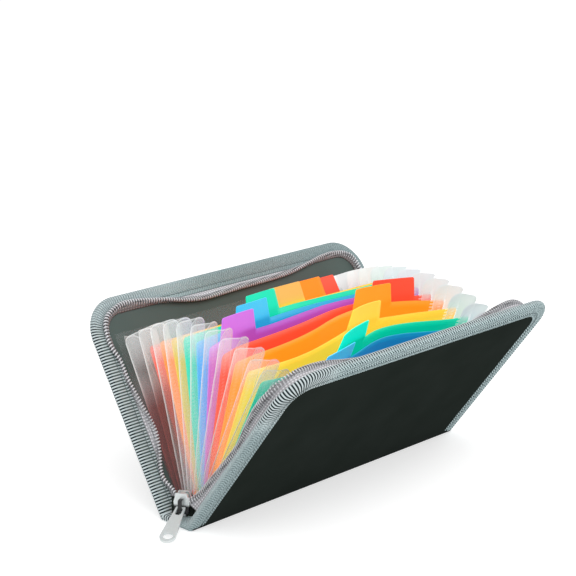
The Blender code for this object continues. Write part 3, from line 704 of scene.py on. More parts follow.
def binding_section():
    """The U of the binding as (inset, inward, how freely it ripples), from inner leg to outer leg."""
    # One leg, in mm: distance in from the edge, and how deep it lies. The seam pulls it down at 6.3 mm.
    leg = ((7.9, 0.0), (7.1, -0.02), (6.55, 0.02), (6.3, 0.2), (6.05, 0.02), (4.8, -0.06), (3.2, -0.04))
    brink = BINDING_WIDTH - 0.1 * MM
    section = [(BINDING_WIDTH, STACK - 0.45 * MM, 0.0), (brink, STACK + 0.02 * MM, 0.5)]
    section += [(inset * MM, STACK - sink * MM, 1.0) for inset, sink in leg]
    for index in range(EDGE_FACETS + 1):
        angle = math.pi * index / EDGE_FACETS
        section.append((EDGE_ROUND * (1 - math.sin(angle)), EDGE_ROUND * (1 + math.cos(angle)), 1.0))
    section += [(inset * MM, sink * MM, 1.0) for inset, sink in leg[::-1]]
    section += [(brink, 0.0, 0.5), (BINDING_WIDTH, 0.5 * MM, 0.0)]
    return section


SECTION = binding_section()
steps = [math.dist(a[:2], b[:2]) for a, b in zip(SECTION, SECTION[1:])]
ACROSS = np.concatenate([[0], np.cumsum(steps)])
print("section of the binding:", len(SECTION), "points,", round(ACROSS[-1] / MM, 1), "mm of webbing")

# %% [markdown]
# How far the ribs open and how clearly the chevrons show changes along the edge. Both are given as soft
# steps between distances from the left foot, since a painted mask would have to be made again whenever
# the case changed its size.

# %% Where the ribs open
RIB_PITCH = {FRONT: 1.52 * MM, REAR: 1.36 * MM}
RIB_SAMPLES = 8
OPEN_DEPTH = 0.4 * MM
CLOSE_DEPTH = 0.05 * MM
ROUND_LEFT = STRAIGHT_TOP + math.pi / 4 * CORNER_RADIUS  # the middle of the left corner, along the edge


def rib_opening(side, walked, inward):
    """How far the ribs stand open, from 0 to 1, at a distance along the edge from the left foot."""
    if side == REAR:
        left = 1 - smooth_step(walked, 84 * MM, 104 * MM)
        corner = 0.5 * (1 - smooth_step(walked, 120 * MM, 180 * MM))
        right = 0.5 * (walked > EDGE_LENGTH - 84 * MM)
        return max(left, corner, right)
    inner = smooth_step(inward, EDGE_ROUND * 0.3, EDGE_ROUND * 1.1)
    corner = 1 - smooth_step(abs(walked - ROUND_LEFT), 12 * MM, 32 * MM)
    far = 1 - smooth_step(walked, EDGE_LENGTH - 150 * MM, EDGE_LENGTH - 95 * MM)
    leg = smooth_step(walked, ROUND_LEFT - 34 * MM, ROUND_LEFT - 14 * MM)
    return max(inner * max(far, 0.6) * (0.35 + 0.65 * leg), corner)


def webbing_weave(side, walked):
    """How strongly the chevrons show: clear on the front cover, faint on the rear."""
    if side == FRONT:
        return 0.4 + 0.6 * smooth_step(walked, 60 * MM, 90 * MM)
    return 0.15 + 0.35 * (1 - smooth_step(walked, 100 * MM, 180 * MM))


print("ribs open at the rear foot:", rib_opening(REAR, 0, 0))
print("and in the middle of the front edge:", rib_opening(FRONT, EDGE_LENGTH / 2, 0))

# %% [markdown]
# The sweep gives each point of the binding three numbers for its finish: how deep in a gap it lies, which
# sets its painted shade; how far its rib stands open; and how clearly the chevrons show. Its place on the
# flat webbing is folded back every 5 mm across, so the slanted wave turns round there and makes chevrons.

# %% Sweep the binding
CHEVRON_WIDTH = 5 * MM
SEAM_SHADE = 0.55  # how dark the groove of the seam is, as the depth of a gap
PATTERN_START = 0.05  # keeps every place along the webbing above zero, where the pattern would mirror


def binding_point(side, walk, index, step, inset, inward):
    """A point of the binding; an index before or beyond the cover's edge lies on the spine."""
    if 0 <= index < len(walk):
        along, up, into_x, into_up = walk[index]
        return on_cover(side, along + into_x * inset, up + into_up * inset, inward)
    end, beyond = (-1, -index * step) if index < 0 else (1, (index - len(walk) + 1) * step)
    return wrapped(side, end * (HALF_WIDTH - inset), beyond, inward)


def sweep_binding(side):
    """The binding of one cover, from the middle of the spine's left end to that of its right end."""
    step = RIB_PITCH[side] / RIB_SAMPLES
    walk, total = edge_line(step)
    count = round((ROLL_ARC[side] + HINGE_Y) / step)
    rows, gaps, opens, weaves, places = [], [], [], [], []
    for index in range(-count, len(walk) + count):
        walked = min(max(total * index / (len(walk) - 1), 0), total)
        dip = (0.5 - 0.5 * math.cos(2 * math.pi * index / RIB_SAMPLES)) ** 1.1
        row = []
        for (inset, inward, free), across in zip(SECTION, ACROSS):
            opening = rib_opening(side, walked, inward)
            sink = dip * free * (CLOSE_DEPTH + (OPEN_DEPTH - CLOSE_DEPTH) * opening)
            if inward <= EDGE_ROUND * 0.5:
                inward += sink
            elif inward >= EDGE_ROUND * 1.5:
                inward -= sink
            else:
                inset += sink
            row.append(binding_point(side, walk, index, step, inset, inward))
            # The groove of the seam and the rib gaps both get painted shade.
            groove = SEAM_SHADE if abs(inset - SEAM_AT) < 0.1 * MM else 0
            gaps.append(max(dip * free * opening, groove))
            opens.append(opening * free * 0.9)
            weaves.append(webbing_weave(side, walked))
            folded = (across - ACROSS[-1] / 2) % CHEVRON_WIDTH - CHEVRON_WIDTH / 2
            places.append((index * step + PATTERN_START, folded, 0))
        rows.append(row)
    obj = sheet_mesh(f"{SIDE_NAMES[side]}_edge_binding", rows, WEBBING, flip=(side == FRONT))
    for name, values in (("gap", gaps), ("open", opens), ("weave", weaves)):
        give_values(obj, name, values)
    give_places(obj, places)
    return obj


for side in SIDES:
    edging = sweep_binding(side)
    bend_with_spine(edging, side)
    spine_ends = ["spine_binding_left", "spine_binding_right"] if side == FRONT else []
    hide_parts(f"{SIDE_NAMES[side]}_binding", *spine_ends)
    print(edging.name, len(edging.data.vertices), "points")

# %% [markdown]
# ### Stitches
#
# One row of stitches goes through both legs of the binding and pulls a groove into them. Each stitch is a
# short capsule of thread that dips into the cloth at both ends. A bump in the webbing's finish would cost
# less, but it would lie flat at the edge, where the stitches are seen from the side. `tube` wraps a mesh
# round a line of points, and serves again for the coil of the zip.

# %% Tubes of thread
def tube(points, radii, around=6, flat=1.0, radial=None):
    """Points and faces of a tube through a line of points; radial gives the direction of its first side."""
    points = np.asarray(points, float)
    ahead = np.gradient(points, axis=0)
    ahead /= np.linalg.norm(ahead, axis=1, keepdims=True)
    side = np.tile((0.0, 0.0, 1.0), (len(points), 1)) if radial is None else np.asarray(radial, float)
    side = side - ahead * np.sum(side * ahead, axis=1, keepdims=True)
    side /= np.maximum(np.linalg.norm(side, axis=1, keepdims=True), 1e-9)
    other = np.cross(ahead, side)
    rings = []
    for corner in range(around):
        turn = 2 * math.pi * corner / around
        outward = side * math.cos(turn) * flat + other * math.sin(turn)
        rings.append(points + outward * np.reshape(radii, (-1, 1)))
    return np.stack(rings, axis=1).reshape(-1, 3), grid_faces(len(points), around, closed=True)


def joined(pieces):
    """Many tubes as one list of points and faces."""
    points, faces = [], []
    for some, several in pieces:
        faces += [tuple(k + len(points) for k in face) for face in several]
        points += [tuple(point) for point in some]
    return points, faces


print("a tube of two rings has", len(tube([(0, 0, 0), (1, 0, 0)], [1, 1])[0]), "points")

# %% Sew the stitches
STITCH_GRID = 0.5 * MM
STITCH_STEPS = 6  # grid steps from one stitch to the next
STITCH_POINTS = 5
STITCH_RADIUS = 0.17 * MM


def stitches(side, inward, sign):
    """Stitches along one leg of the binding, each rising from the cloth and going back in."""
    walk = edge_line(STITCH_GRID)[0]
    pieces = []
    for first in range(8, len(walk) - 12, STITCH_STEPS):
        line = []
        for k in range(STITCH_POINTS):
            along, up, into_x, into_up = walk[first + k]
            depth = inward + sign * (0.16 * MM * math.sin(math.pi * k / (STITCH_POINTS - 1)) - 0.06 * MM)
            line.append(on_cover(side, along + into_x * SEAM_AT, up + into_up * SEAM_AT, depth))
        pieces.append(tube(line, STITCH_RADIUS * np.array((0.4, 1, 1, 1, 0.4)), around=5))
    return pieces


for side in SIDES:
    pieces = stitches(side, STACK, 1) + stitches(side, 0, -1)
    seam = mesh_object(f"{SIDE_NAMES[side]}_stitches", *joined(pieces), THREAD)
    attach(seam, f"{SIDE_NAMES[side]}_cover")
    print(seam.name, len(pieces), "stitches")

# %% [markdown]
# ## Zip
#
# Unzipped, each tape stands off its cover and sways: nothing holds its free edge, so the coil wanders in
# and out along a slow curve. The line of the coil is given at a few places, as distances along the spine,
# up the cover and inward, and a smooth curve goes through them. The tape is the surface between that line
# and the seam. A cloth simulation would find some sway by itself, though hardly the same one each time.

# %% Line of the coil
COIL_PLACES = {
    FRONT: [(-84, 3, 12.2), (-81.5, 10, 10.8), (-81, 24, 9.9), (-81, 46, 8.9), (-82.5, 62, 10.4),
            (-84.3, 74, 10.2), (-84.2, 82, 9.6), (-80.5, 88.6, 9.6), (-72, 92, 10.4), (-58, 92.2, 10.4),
            (-42, 90.8, 8.4), (-22, 89, 7.4), (20, 88.6, 7.4), (42, 90.4, 7.8), (58, 93.4, 9.6),
            (70, 93.6, 10.2), (78.5, 90.5, 8.6), (81.5, 84, 8.4), (81.3, 70, 9), (80.6, 45, 8.6),
            (81, 20, 9), (82, 6, 9.6)],
    REAR: [(-84, 3, 11.5), (-82.6, 10, 7.2), (-83.4, 17.4, 4.9), (-80.8, 28, 6), (-79.6, 36, 7),
           (-79.8, 42.5, 6.8), (-80.6, 49.3, 6), (-81.8, 62.1, 5), (-82.2, 71.8, 5), (-83.9, 78.1, 4.9),
           (-84, 84.3, 4.9), (-82, 90.7, 5.1), (-77.6, 94.3, 5.4), (-67.8, 96.7, 5.6), (-48.5, 94, 5.8),
           (-26, 89.6, 5.8), (0.5, 90, 5.5), (34.5, 90.9, 5), (60.5, 94.9, 5), (73.8, 94.9, 5),
           (81, 91.4, 5.4), (83, 84, 6), (81.8, 68, 7), (80.4, 45, 7.6), (81, 20, 7.4), (82, 6, 9)],
}
COIL_SAMPLES = 700


def through(before, start, end, after, share):
    """A place on a smooth curve from start to end, whose slope at each agrees with the points beyond it."""
    return 0.5 * (2 * start + (end - before) * share
                  + (2 * before - 5 * start + 4 * end - after) * share ** 2
                  + (3 * start - before - 3 * end + after) * share ** 3)


def smooth_line(points, samples):
    """A smooth curve through points, evenly spaced, and its length."""
    padded = np.vstack([2 * points[0] - points[1], points, 2 * points[-1] - points[-2]])
    dense = []
    for k in range(len(points) - 1):
        dense += [through(*padded[k:k + 4], share) for share in np.linspace(0, 1, 40, endpoint=False)]
    dense = np.array(dense + [points[-1]])
    lengths = np.concatenate([[0], np.cumsum(np.linalg.norm(np.diff(dense, axis=0), axis=1))])
    wanted = np.linspace(0, lengths[-1], samples)
    return np.array([np.interp(wanted, lengths, dense[:, axis]) for axis in range(3)]).T, lengths[-1]


coil_lines, coil_lengths = {}, {}
for side in SIDES:
    coil_lines[side], coil_lengths[side] = smooth_line(np.array(COIL_PLACES[side]) * MM, COIL_SAMPLES)
    print(SIDE_NAMES[side], "coil is", round(coil_lengths[side] / MM), "mm long")

# %% [markdown]
# The tape is sewn in along the binding's inner leg and bulges a little on its way to the coil. Its two
# faces differ: the outer one shows the weave, and the inner one is painted darker and browner, as shade. A
# second material on the faces that the thickness adds gives that without a second mesh.

# %% Zip tapes
SEAM_INSET = 8.6 * MM
TAPE_COLUMNS = 8
TAPE_BULGE = 0.8 * MM
LOWEST_TAPE = 1.5 * MM


def nearest_on_edge(along, up):
    """The point of the seam nearest to a place on the cover."""
    radius = CORNER_RADIUS - SEAM_INSET
    if up > STRAIGHT_TOP and abs(along) > STRAIGHT_HALF:
        away = Vector((abs(along) - STRAIGHT_HALF, up - STRAIGHT_TOP)).normalized()
        return math.copysign(STRAIGHT_HALF + radius * away.x, along), STRAIGHT_TOP + radius * away.y
    if COVER_HEIGHT - up < HALF_WIDTH - abs(along):
        return along, COVER_HEIGHT - SEAM_INSET
    return math.copysign(HALF_WIDTH - SEAM_INSET, along), up


def seam_line(side):
    """The seam's point for each sample of the coil line."""
    return np.array([(*nearest_on_edge(along, up), STACK - 0.3 * MM) for along, up, _ in coil_lines[side]])


def tape_mesh(side):
    """The tape between seam and coil, with a soft bulge; its inner face is painted darker, as shade."""
    rows, places = [], []
    for index, (seam, free) in enumerate(zip(seam_line(side), coil_lines[side])):
        row = []
        for share in (k / (TAPE_COLUMNS - 1) for k in range(TAPE_COLUMNS)):
            here = seam + (free - seam) * share
            here[2] += TAPE_BULGE * math.sin(math.pi * share) * (1 - share)
            row.append(on_cover(side, here[0], max(here[1], LOWEST_TAPE), here[2]))
            walked = coil_lengths[side] * index / (COIL_SAMPLES - 1)
            places.append((walked, math.dist(seam, free) * share, 0))
        rows.append(row)
    tape = sheet_mesh(f"{SIDE_NAMES[side]}_tape", rows, TAPE, flip=(side == FRONT))
    give_places(tape, places)
    # The faces that the thickness adds take the darker tape, painted shade.
    tape.data.materials.append(TAPE_BACK_SHADED)
    thicken(tape, 0.45 * MM).modifiers[0].material_offset = 1
    return tape


def fold_with_cover(obj, side):
    """Ride on the cover, with a mesh of its own."""
    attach(obj, f"{SIDE_NAMES[side]}_cover")
    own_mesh(obj)


for side in SIDES:
    tape = tape_mesh(side)
    fold_with_cover(tape, side)
    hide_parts(f"{SIDE_NAMES[side]}_zip_tape")
    print(tape.name, len(tape.data.vertices), "points")

# %% [markdown]
# ### Coil
#
# A nylon zip is one thread wound into a coil and sewn to the tape. Seen from the face, each turn shows as
# a bead at the edge and a second bead where it goes back under the stitching. Winding the thread turn by
# turn keeps that double row of beads, which a texture on a tube would lose.

# %% Wind the coil
COIL_PITCH = 1.45 * MM
COIL_HALF = 1.3 * MM  # half of a turn's width across the tape
COIL_RISE = 0.8 * MM  # half of a turn's height
COIL_BACK = 0.6 * MM  # how far the turns' middle lies back from the tape's free edge
NYLON_RADIUS = 0.44 * MM
TURN_POINTS = 12
THREAD_SIDES = 6


def even(vectors, window=41):
    """Smooth a row of directions and make them unit length."""
    padded = np.pad(vectors, ((window // 2, window // 2), (0, 0)), mode="edge")
    kernel = np.ones(window) / window
    smooth = np.array([np.convolve(padded[:, axis], kernel, mode="valid") for axis in range(3)]).T
    return smooth / np.linalg.norm(smooth, axis=1, keepdims=True)


def coil_frame(side, share):
    """Middle of the coil, the way to the seam and the way off the tape, at shares of the coil's length."""
    line = coil_lines[side]
    ahead = np.gradient(line, axis=0)
    ahead /= np.linalg.norm(ahead, axis=1, keepdims=True)
    back = seam_line(side) - line
    back = even(back - ahead * np.sum(back * ahead, axis=1, keepdims=True))
    wanted = share * (len(line) - 1)
    return [np.array([np.interp(wanted, range(len(line)), values[:, axis]) for axis in range(3)]).T
            for values in (line, back, np.cross(ahead, back))]


def coil_mesh(side):
    """One thread wound round the tape's free edge."""
    turns = coil_lengths[side] / COIL_PITCH
    share = np.linspace(0.004, 0.996, int(turns * TURN_POINTS))
    centre, toward, out = coil_frame(side, share)
    angle = 2 * math.pi * turns * share
    across, rise = np.cos(angle)[:, None], np.sin(angle)[:, None]
    thread = centre + toward * (COIL_BACK + COIL_HALF * across) + out * COIL_RISE * rise
    radii = np.full(len(thread), NYLON_RADIUS)
    points, faces = tube(thread, radii, THREAD_SIDES, 0.8, toward * across + out * rise)
    # Painted shade on the sides of the thread, where neighbouring turns touch, and where the turns go under
    # the sewing thread.
    between = np.abs(np.sin(2 * math.pi * np.arange(THREAD_SIDES) / THREAD_SIDES)) ** 2
    sewn = np.exp(-((np.abs(across) - 0.4) / 0.18) ** 2)
    coil = mesh_object(f"{SIDE_NAMES[side]}_coil", [on_cover(side, *point) for point in points], faces, NYLON)
    give_values(coil, "gap", np.maximum(0.95 * sewn, 0.95 * between).ravel())
    return coil


for side in SIDES:
    coil = coil_mesh(side)
    fold_with_cover(coil, side)
    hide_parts(f"{SIDE_NAMES[side]}_zip_coil")
    print(coil.name, len(coil.data.polygons), "faces")

# %% [markdown]
# ## Sheets of the accordion
#
# Twelve sheets stand on the floor of the folder, six colours twice over. Only their ends are held, by the
# gussets, so the middle of each sheet bows back. The bow is given for each sheet at thirteen places along
# the spine, and every slice of a sheet leans straight from its foot, so neighbours never cross. Twelve
# simulated sheets would have to be kept apart by hand, and would still not bow as the real ones do.

# %% Places of the sheets
SHEET_NAMES = ["red", "orange", "yellow", "green", "blue", "purple"] * 2
SHEET_MIDDLE = -2.5 * MM
SHEET_LOW = SHEET_MIDDLE - 69.5 * MM
SHEET_HIGH = SHEET_MIDDLE + 69.5 * MM
SHEET_TOPS = [value * MM for value in (72.8, 74, 75, 76, 75.3, 74.8, 74, 74, 74, 74, 74, 74)]
TAB_HEIGHT = 9.8 * MM
TAB_WIDTH = 20.6 * MM
TAB_FLARE = 1.5 * MM  # how much wider the tab is at its foot, at each side
TAB_RIGHT = [at * MM for at in (52.5, 35, 14.5, -8, -23.5, -40.5, 55, 38.5, 18.3, -1.6, -21, -38)]
# How much of the brighter, lit colour each sheet is painted with, as light, at its left end, in its middle
# and on its tab.
LIGHT_END = (0.3, 0.5, 0, 0.3, 0.75, 0.95, 0.3, 1, 1, 0, 0, 0)
LIGHT_BODY = (0, 0, 0, 0, 0.2, 0.1, 0, 0.5, 0.4, 0, 0, 0)
LIGHT_TAB = (0.5, 0, 1, 0.25, 0.75, 0.9, 1, 1, 1, 1, 1, 1)
# How far each sheet's top bows back, in mm, at thirteen places along the spine.
ALONG = [at * MM for at in (-72, -60, -45, -30, -15, 0, 10, 20, 30, 40, 50, 60, 67)]
BOWS = [
    (0, 0.2, 0.4, 0.6, 0.9, 1.0, 1.0, 0.9, 0.7, 0.4, 0.2, 0.1, 0),
    (0, 0.3, 0.6, 1.0, 1.5, 1.8, 1.8, 1.5, 1.2, 0.8, 0.4, 0.1, 0),
    (0, 0.7, 1.2, 2.0, 2.8, 3.2, 3.2, 2.8, 2.2, 1.4, 0.8, 0.2, 0),
    (0, 1.5, 2.5, 3.6, 5.4, 6.6, 6.2, 4.8, 3.2, 1.8, 0.9, 0.3, 0),
    (0, 2.4, 3.2, 4.2, 6.0, 6.9, 7.0, 5.9, 4.6, 3.2, 1.8, 0.5, 0),
    (0, 3.8, 5.2, 5.6, 7.4, 9.4, 10.6, 10.4, 9.0, 6.5, 3.8, 1.2, 0),
    (0, 3.2, 4.5, 5.7, 7.6, 10.2, 11.8, 12.0, 10.5, 7.5, 4.3, 1.2, 0),
    (0, 1.4, 2.3, 4.0, 6.9, 11.0, 12.9, 13.6, 12.4, 10.6, 6.6, 2.0, 0),
    (0, -0.4, -0.4, 1.2, 4.2, 7.5, 8.7, 8.3, 6.6, 4.8, 2.7, 0.9, 0),
    (0, -1.0, -0.8, 0.6, 4.6, 7.0, 8.9, 8.8, 7.3, 5.0, 2.5, 0.7, 0),
    (0, 0, 0.5, 2.4, 4.9, 8.2, 9.0, 7.8, 5.5, 3.2, 1.5, 0.5, 0),
    (0, 0, 0.3, 2.0, 4.4, 7.4, 8.1, 7.0, 5.0, 2.8, 1.3, 0.4, 0),
]
folds = [joints[f"divider_{k + 1:02d}_fold"] for k in range(12)]
leans = [math.radians(max(joint["range_deg"], key=abs)) for joint in folds]
feet = [joint["pos_m"][1] for joint in folds]
SHEET_FOOT = folds[0]["pos_m"][2]
print("leans:", [round(math.degrees(value), 1) for value in leans])

# %% A point on a sheet
def bow_at(index, along):
    """How far the top of a sheet bows back at a place along the spine."""
    k = min(max(int(np.searchsorted(ALONG, along)) - 1, 0), len(ALONG) - 2)
    share = min(max((along - ALONG[k]) / (ALONG[k + 1] - ALONG[k]), 0), 1)
    bows = [BOWS[index][min(max(k + j, 0), len(ALONG) - 1)] for j in (-1, 0, 1, 2)]
    return MM * through(*bows, share)


def on_line(line, along, up, behind):
    """A point by a sheet whose foot and lean are given: along the spine, up the sheet, and behind it."""
    y = line[0] + up * math.sin(line[1]) + behind * math.cos(line[1])
    z = SHEET_FOOT + up * math.cos(line[1]) - behind * math.sin(line[1])
    return (along, y, z)


def on_sheet(index, along, up):
    """A point on a bowed sheet."""
    turn = math.asin(bow_at(index, along) / SHEET_TOPS[index])
    return on_line((feet[index], leans[index] + turn), along, up, 0.0)


print("bow of sheet 8 at its tab:", round(bow_at(7, 20 * MM) / MM, 1), "mm")

# %% [markdown]
# A sheet is a grid from its foot to its top edge, finer at the ends, where the corners are round. Its tab
# stands on the columns of that grid that lie between the tab's two feet, row by row, so sheet and tab are
# one surface. Cutting the tab out of a taller sheet would leave ragged edges.

# %% Columns of a sheet
END_STEPS = [at * MM for at in (0, 0.3, 0.8, 1.5, 2.5)]
END_WIDTH = 4 * MM


def tab_feet(index):
    """Where the two feet of a tab stand along the spine."""
    return TAB_RIGHT[index] - TAB_WIDTH - TAB_FLARE, TAB_RIGHT[index] + TAB_FLARE


def sheet_columns(index):
    """Places of a sheet's columns along the spine, with one at each foot of its tab."""
    edges = list(np.linspace(SHEET_LOW + END_WIDTH, SHEET_HIGH - END_WIDTH, 56)) + list(tab_feet(index))
    edges += [SHEET_LOW + at for at in END_STEPS] + [SHEET_HIGH - at for at in END_STEPS]
    return sorted({round(at, 6) for at in edges})


def rounded_top(from_end, radius):
    """How much lower a rounded corner is at a distance from its side."""
    return radius - math.sqrt(max(radius ** 2 - max(radius - from_end, 0) ** 2, 0))


def lit(index, light, share):
    """How much of the tab's colour shows: the middle's amount at share 0, and that of light at 1."""
    return LIGHT_BODY[index] + (light[index] - LIGHT_BODY[index]) * share


print("columns of the first sheet:", len(sheet_columns(0)))

# %% Make the sheets
SHEET_LEVELS = 24
SHEET_UNDER = 0.3 * MM  # gap between the sheet's foot and the fold's axis
SHEET_CORNER = 2 * MM
TAB_RISES = (2, 4, 6, 8, 9.1, 9.35, 9.6, 9.75, 9.8)
TAB_CORNER = 0.7 * MM


def make_sheet(index):
    """One sheet with its tab."""
    edges = sheet_columns(index)
    foot_left, foot_right = tab_feet(index)
    top = SHEET_TOPS[index]
    points, places, tab = [], [], []
    for level in np.linspace(0, 1, SHEET_LEVELS):
        for along in edges:
            corner = rounded_top(min(along - SHEET_LOW, SHEET_HIGH - along), SHEET_CORNER)
            up = SHEET_UNDER + (top - corner - SHEET_UNDER) * level
            points.append(on_sheet(index, along, up))
            places.append((along - SHEET_MIDDLE, up, 0))
            # Painted light: the left end takes the lit colour, fading towards the middle.
            tab.append(lit(index, LIGHT_END, 1 - smooth_step(along, -62 * MM, -42 * MM)))
    faces = grid_faces(SHEET_LEVELS, len(edges))
    inside = [k for k, along in enumerate(edges) if foot_left - 1e-6 <= along <= foot_right + 1e-6]
    below = [(SHEET_LEVELS - 1) * len(edges) + k for k in inside]
    for rise in TAB_RISES:
        trim = rounded_top(TAB_HEIGHT - rise * MM, TAB_CORNER)
        half = TAB_WIDTH / 2 + TAB_FLARE * (1 - rise * MM / TAB_HEIGHT) - trim
        row = []
        for k in inside:
            share = (edges[k] - foot_left) / (foot_right - foot_left) * 2 - 1
            along = (foot_left + foot_right) / 2 + half * share
            row.append(len(points))
            points.append(on_sheet(index, along, top + rise * MM))
            places.append((along - SHEET_MIDDLE, top + rise * MM, 0))
            tab.append(lit(index, LIGHT_TAB, smooth_step(rise, -1, 3)))
        faces += [(below[a], below[a + 1], row[a + 1], row[a]) for a in range(len(inside) - 1)]
        below = row
    group = "rear" if index < 6 else "front"
    finish_name = "amber" if index == 2 else SHEET_NAMES[index]
    name = f"sheet_{index + 1:02d}_{group}_{SHEET_NAMES[index]}"
    obj = mesh_object(name, points, faces, SHEETS[finish_name])
    give_values(obj, "tab", tab)
    give_places(obj, places)
    return thicken(obj, 0.4 * MM)


for index in range(12):
    page = make_sheet(index)
    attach(page, f"divider_{index + 1:02d}")
    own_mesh(page)
    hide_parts(f"divider_{index + 1:02d}")
print("sheets made, the last one", len(page.data.vertices), "points")

# %% [markdown]
# ## Gussets
#
# Each pocket is closed at its ends by a strip of film, folded outwards to a sharp ridge. Every sheet
# carries a flange of film on both faces and the two half strips beside it, which meet their neighbours at
# the ridges. One long bellows would be the real thing, but it would have to bend between fourteen bodies at
# once.

# %% Shape of the film
FILM_ENDS = {-1: SHEET_LOW, 1: SHEET_HIGH}  # a key of -1 is the left end of the folder, and 1 the right
RIDGES = {-1: -79.4 * MM, 1: 74.2 * MM}
FLANGE = 6.4 * MM
FLANGE_STEPS = [at * MM for at in (0, 0.3, 0.7, 1.3, 2.2, 3.2, 4.6, 6.0, 6.4)]
WALL_STEPS = (0.05, 0.2, 0.38, 0.56, 0.74, 0.87, 0.95, 1.0)
FILM_FOOT = 7 * MM
FILM_TOP = 86 * MM
RIM_STEPS = [at * MM for at in (6, 3.5, 2.2, 1.4, 0.8, 0.35, 0)]


def cover_foot(side):
    """Foot and lean of the film on a cover's lining, as the sheets' own are given."""
    foot = side * (HINGE_Y - (STACK - HINGE_Z) * math.cos(lean[side]) + 2 * MM * math.sin(lean[side]))
    return (foot, side * lean[side])


LINES = [cover_foot(REAR)] + list(zip(feet, leans)) + [cover_foot(FRONT)]


def film_drop(number, end):
    """The film is cut a little shorter at the right end, and at the left end towards the rear cover."""
    return 4 * MM if end > 0 else max(5 - number, 0) / 5 * 6.3 * MM


def half_pocket(first, second, up):
    """Half of the distance between two neighbouring sheets at a height."""
    return abs(first[0] - second[0]) / 2 + up * math.tan(abs(first[1] - second[1]) / 2)


print("half a pocket at the top:", round(half_pocket(LINES[5], LINES[6], FILM_TOP) / MM, 1), "mm")

# %% Columns and tones of the film
PAINTED_RED_SHADE = (0.6, 1, 0.8, 0)  # how strongly the first films are painted dark red at the left foot, as shade mixed with red light from the sheets


def film_columns(end):
    """Columns of a half strip: (along, share of the half pocket, how much lower, kind, from rim)."""
    outward = abs(RIDGES[end] - FILM_ENDS[end])
    columns = []
    for at in FLANGE_STEPS:
        columns.append((FILM_ENDS[end] - end * (FLANGE - at), 0.0, rounded_top(at, 4.5 * MM), "flange", at))
    for share in WALL_STEPS:
        from_ridge = (1 - share) * outward * 1.3
        lower = (0.8 * MM * share + rounded_top(from_ridge, 2.8 * MM)) * (0.8 if end > 0 else 1)
        columns.append((FILM_ENDS[end] + end * outward * share, share, lower, "wall", from_ridge))
    return columns


def film_opacity(kind, from_rim, below_top, up, edge_on):
    """How opaque clear film is at a point: painted white as highlights at folds and cut edges, veiled where
    seen edge on.
    """
    base = 0.05 if kind == "flange" else (0.11 if edge_on else 0.05)
    base += 0.09 * (1 - up / FILM_TOP) ** 1.5
    base += 0.22 * (1 - smooth_step(below_top, 8 * MM, 18 * MM))
    # Painted highlights: white lines along the folds and along the cut top edge.
    line = 0.9 * math.exp(-(from_rim / (0.5 * MM)) ** 2) * (1 if kind == "wall" else 0.6)
    rim = 0.8 * math.exp(-(below_top / (0.5 * MM)) ** 2)
    return min(max(base, line, rim), 1)


def film_tone(number, end, kind, from_rim, below_top, up, edge_on):
    """Opacity and painted tint of a point: painted dark red shade low at the left end; at the right, milky
    above the sheets and painted darker along the folds as shade.
    """
    seen = film_opacity(kind, from_rim, below_top, up, edge_on)
    if end < 0:
        # Painted shade: dark red, with red light from the first sheet, low on the first films at the left.
        tint = smooth_step(below_top, 12 * MM, 34 * MM) * (kind == "wall" and number < 3)
        return min(seen + 0.45 * PAINTED_RED_SHADE[min(number, 3)] * tint, 1), tint
    sheet_top = SHEET_TOPS[min(max(number - 1, 0), 11)]
    free = smooth_step(up, sheet_top - 3 * MM, sheet_top + 4 * MM)
    veiled = 0.14 + 0.74 * smooth_step(up, 42 * MM, 66 * MM)
    seen += veiled if kind == "wall" else 0.03 + 0.75 * free
    # Painted shade: darker along the folds of the right film.
    return min(seen, 1), 0.7 * math.exp(-(from_rim / (0.8 * MM)) ** 2) * (kind == "wall")


print("columns of film beside a sheet:", len(film_columns(-1)))

# %% [markdown]
# One mesh holds all the film that moves with a sheet: its two flanges and the two half walls. The rows
# are even up to the top, and close together just under the cut edge, where the white rim has to be thin.

# %% Film beside the sheets
FILM_LEVELS = 12
FILM_LIFT = 0.3 * MM  # how far the film lies off its sheet


def film_piece(number, end):
    """The film beside one sheet or cover, as one mesh."""
    points, faces, tones = [], [], []
    columns = film_columns(end)
    levels = FILM_LEVELS + len(RIM_STEPS)
    for direction, neighbour in ((1, number - 1), (-1, number + 1)):
        if not 0 <= neighbour < len(LINES):
            continue
        edge_on = direction * end > 0
        faces += grid_faces(levels, len(columns), len(points), flip=edge_on)
        own_drop, next_drop = film_drop(number, end), film_drop(neighbour, end)
        for level in range(levels):
            for along, share, lower, kind, from_rim in columns:
                top = FILM_TOP - (own_drop + (next_drop - own_drop) * share / 2) - lower
                if level < FILM_LEVELS:
                    up = FILM_FOOT + (top - RIM_STEPS[0] - FILM_FOOT) * level / FILM_LEVELS
                else:
                    up = top - RIM_STEPS[level - FILM_LEVELS]
                gap = half_pocket(LINES[number], LINES[neighbour], up)
                behind = direction * (FILM_LIFT + (gap - FILM_LIFT) * share)
                if kind == "flange" and 0 < number < 13:
                    behind += bow_at(number - 1, along) * up / SHEET_TOPS[number - 1]
                points.append(on_line(LINES[number], along, up, behind))
                tones.append(film_tone(number, end, kind, from_rim, top - up, up, edge_on))
    word = "left" if end < 0 else "right"
    obj = mesh_object(f"film_{word}_{number:02d}", points, faces, MILKY_FILM if end > 0 else FILM)
    give_values(obj, "opacity", [opacity for opacity, _ in tones])
    give_values(obj, "tint", [tint for _, tint in tones])
    return obj


for end, word in ((-1, "left"), (1, "right")):
    for number in range(14):
        piece = film_piece(number, end)
        body = {0: "rear_cover", 13: "front_cover"}.get(number, f"divider_{number:02d}")
        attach(piece, body)
        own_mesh(piece)
        if number == 6:
            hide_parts(f"gusset_{word}")
print("film strips made, the last one", len(piece.data.vertices), "points")

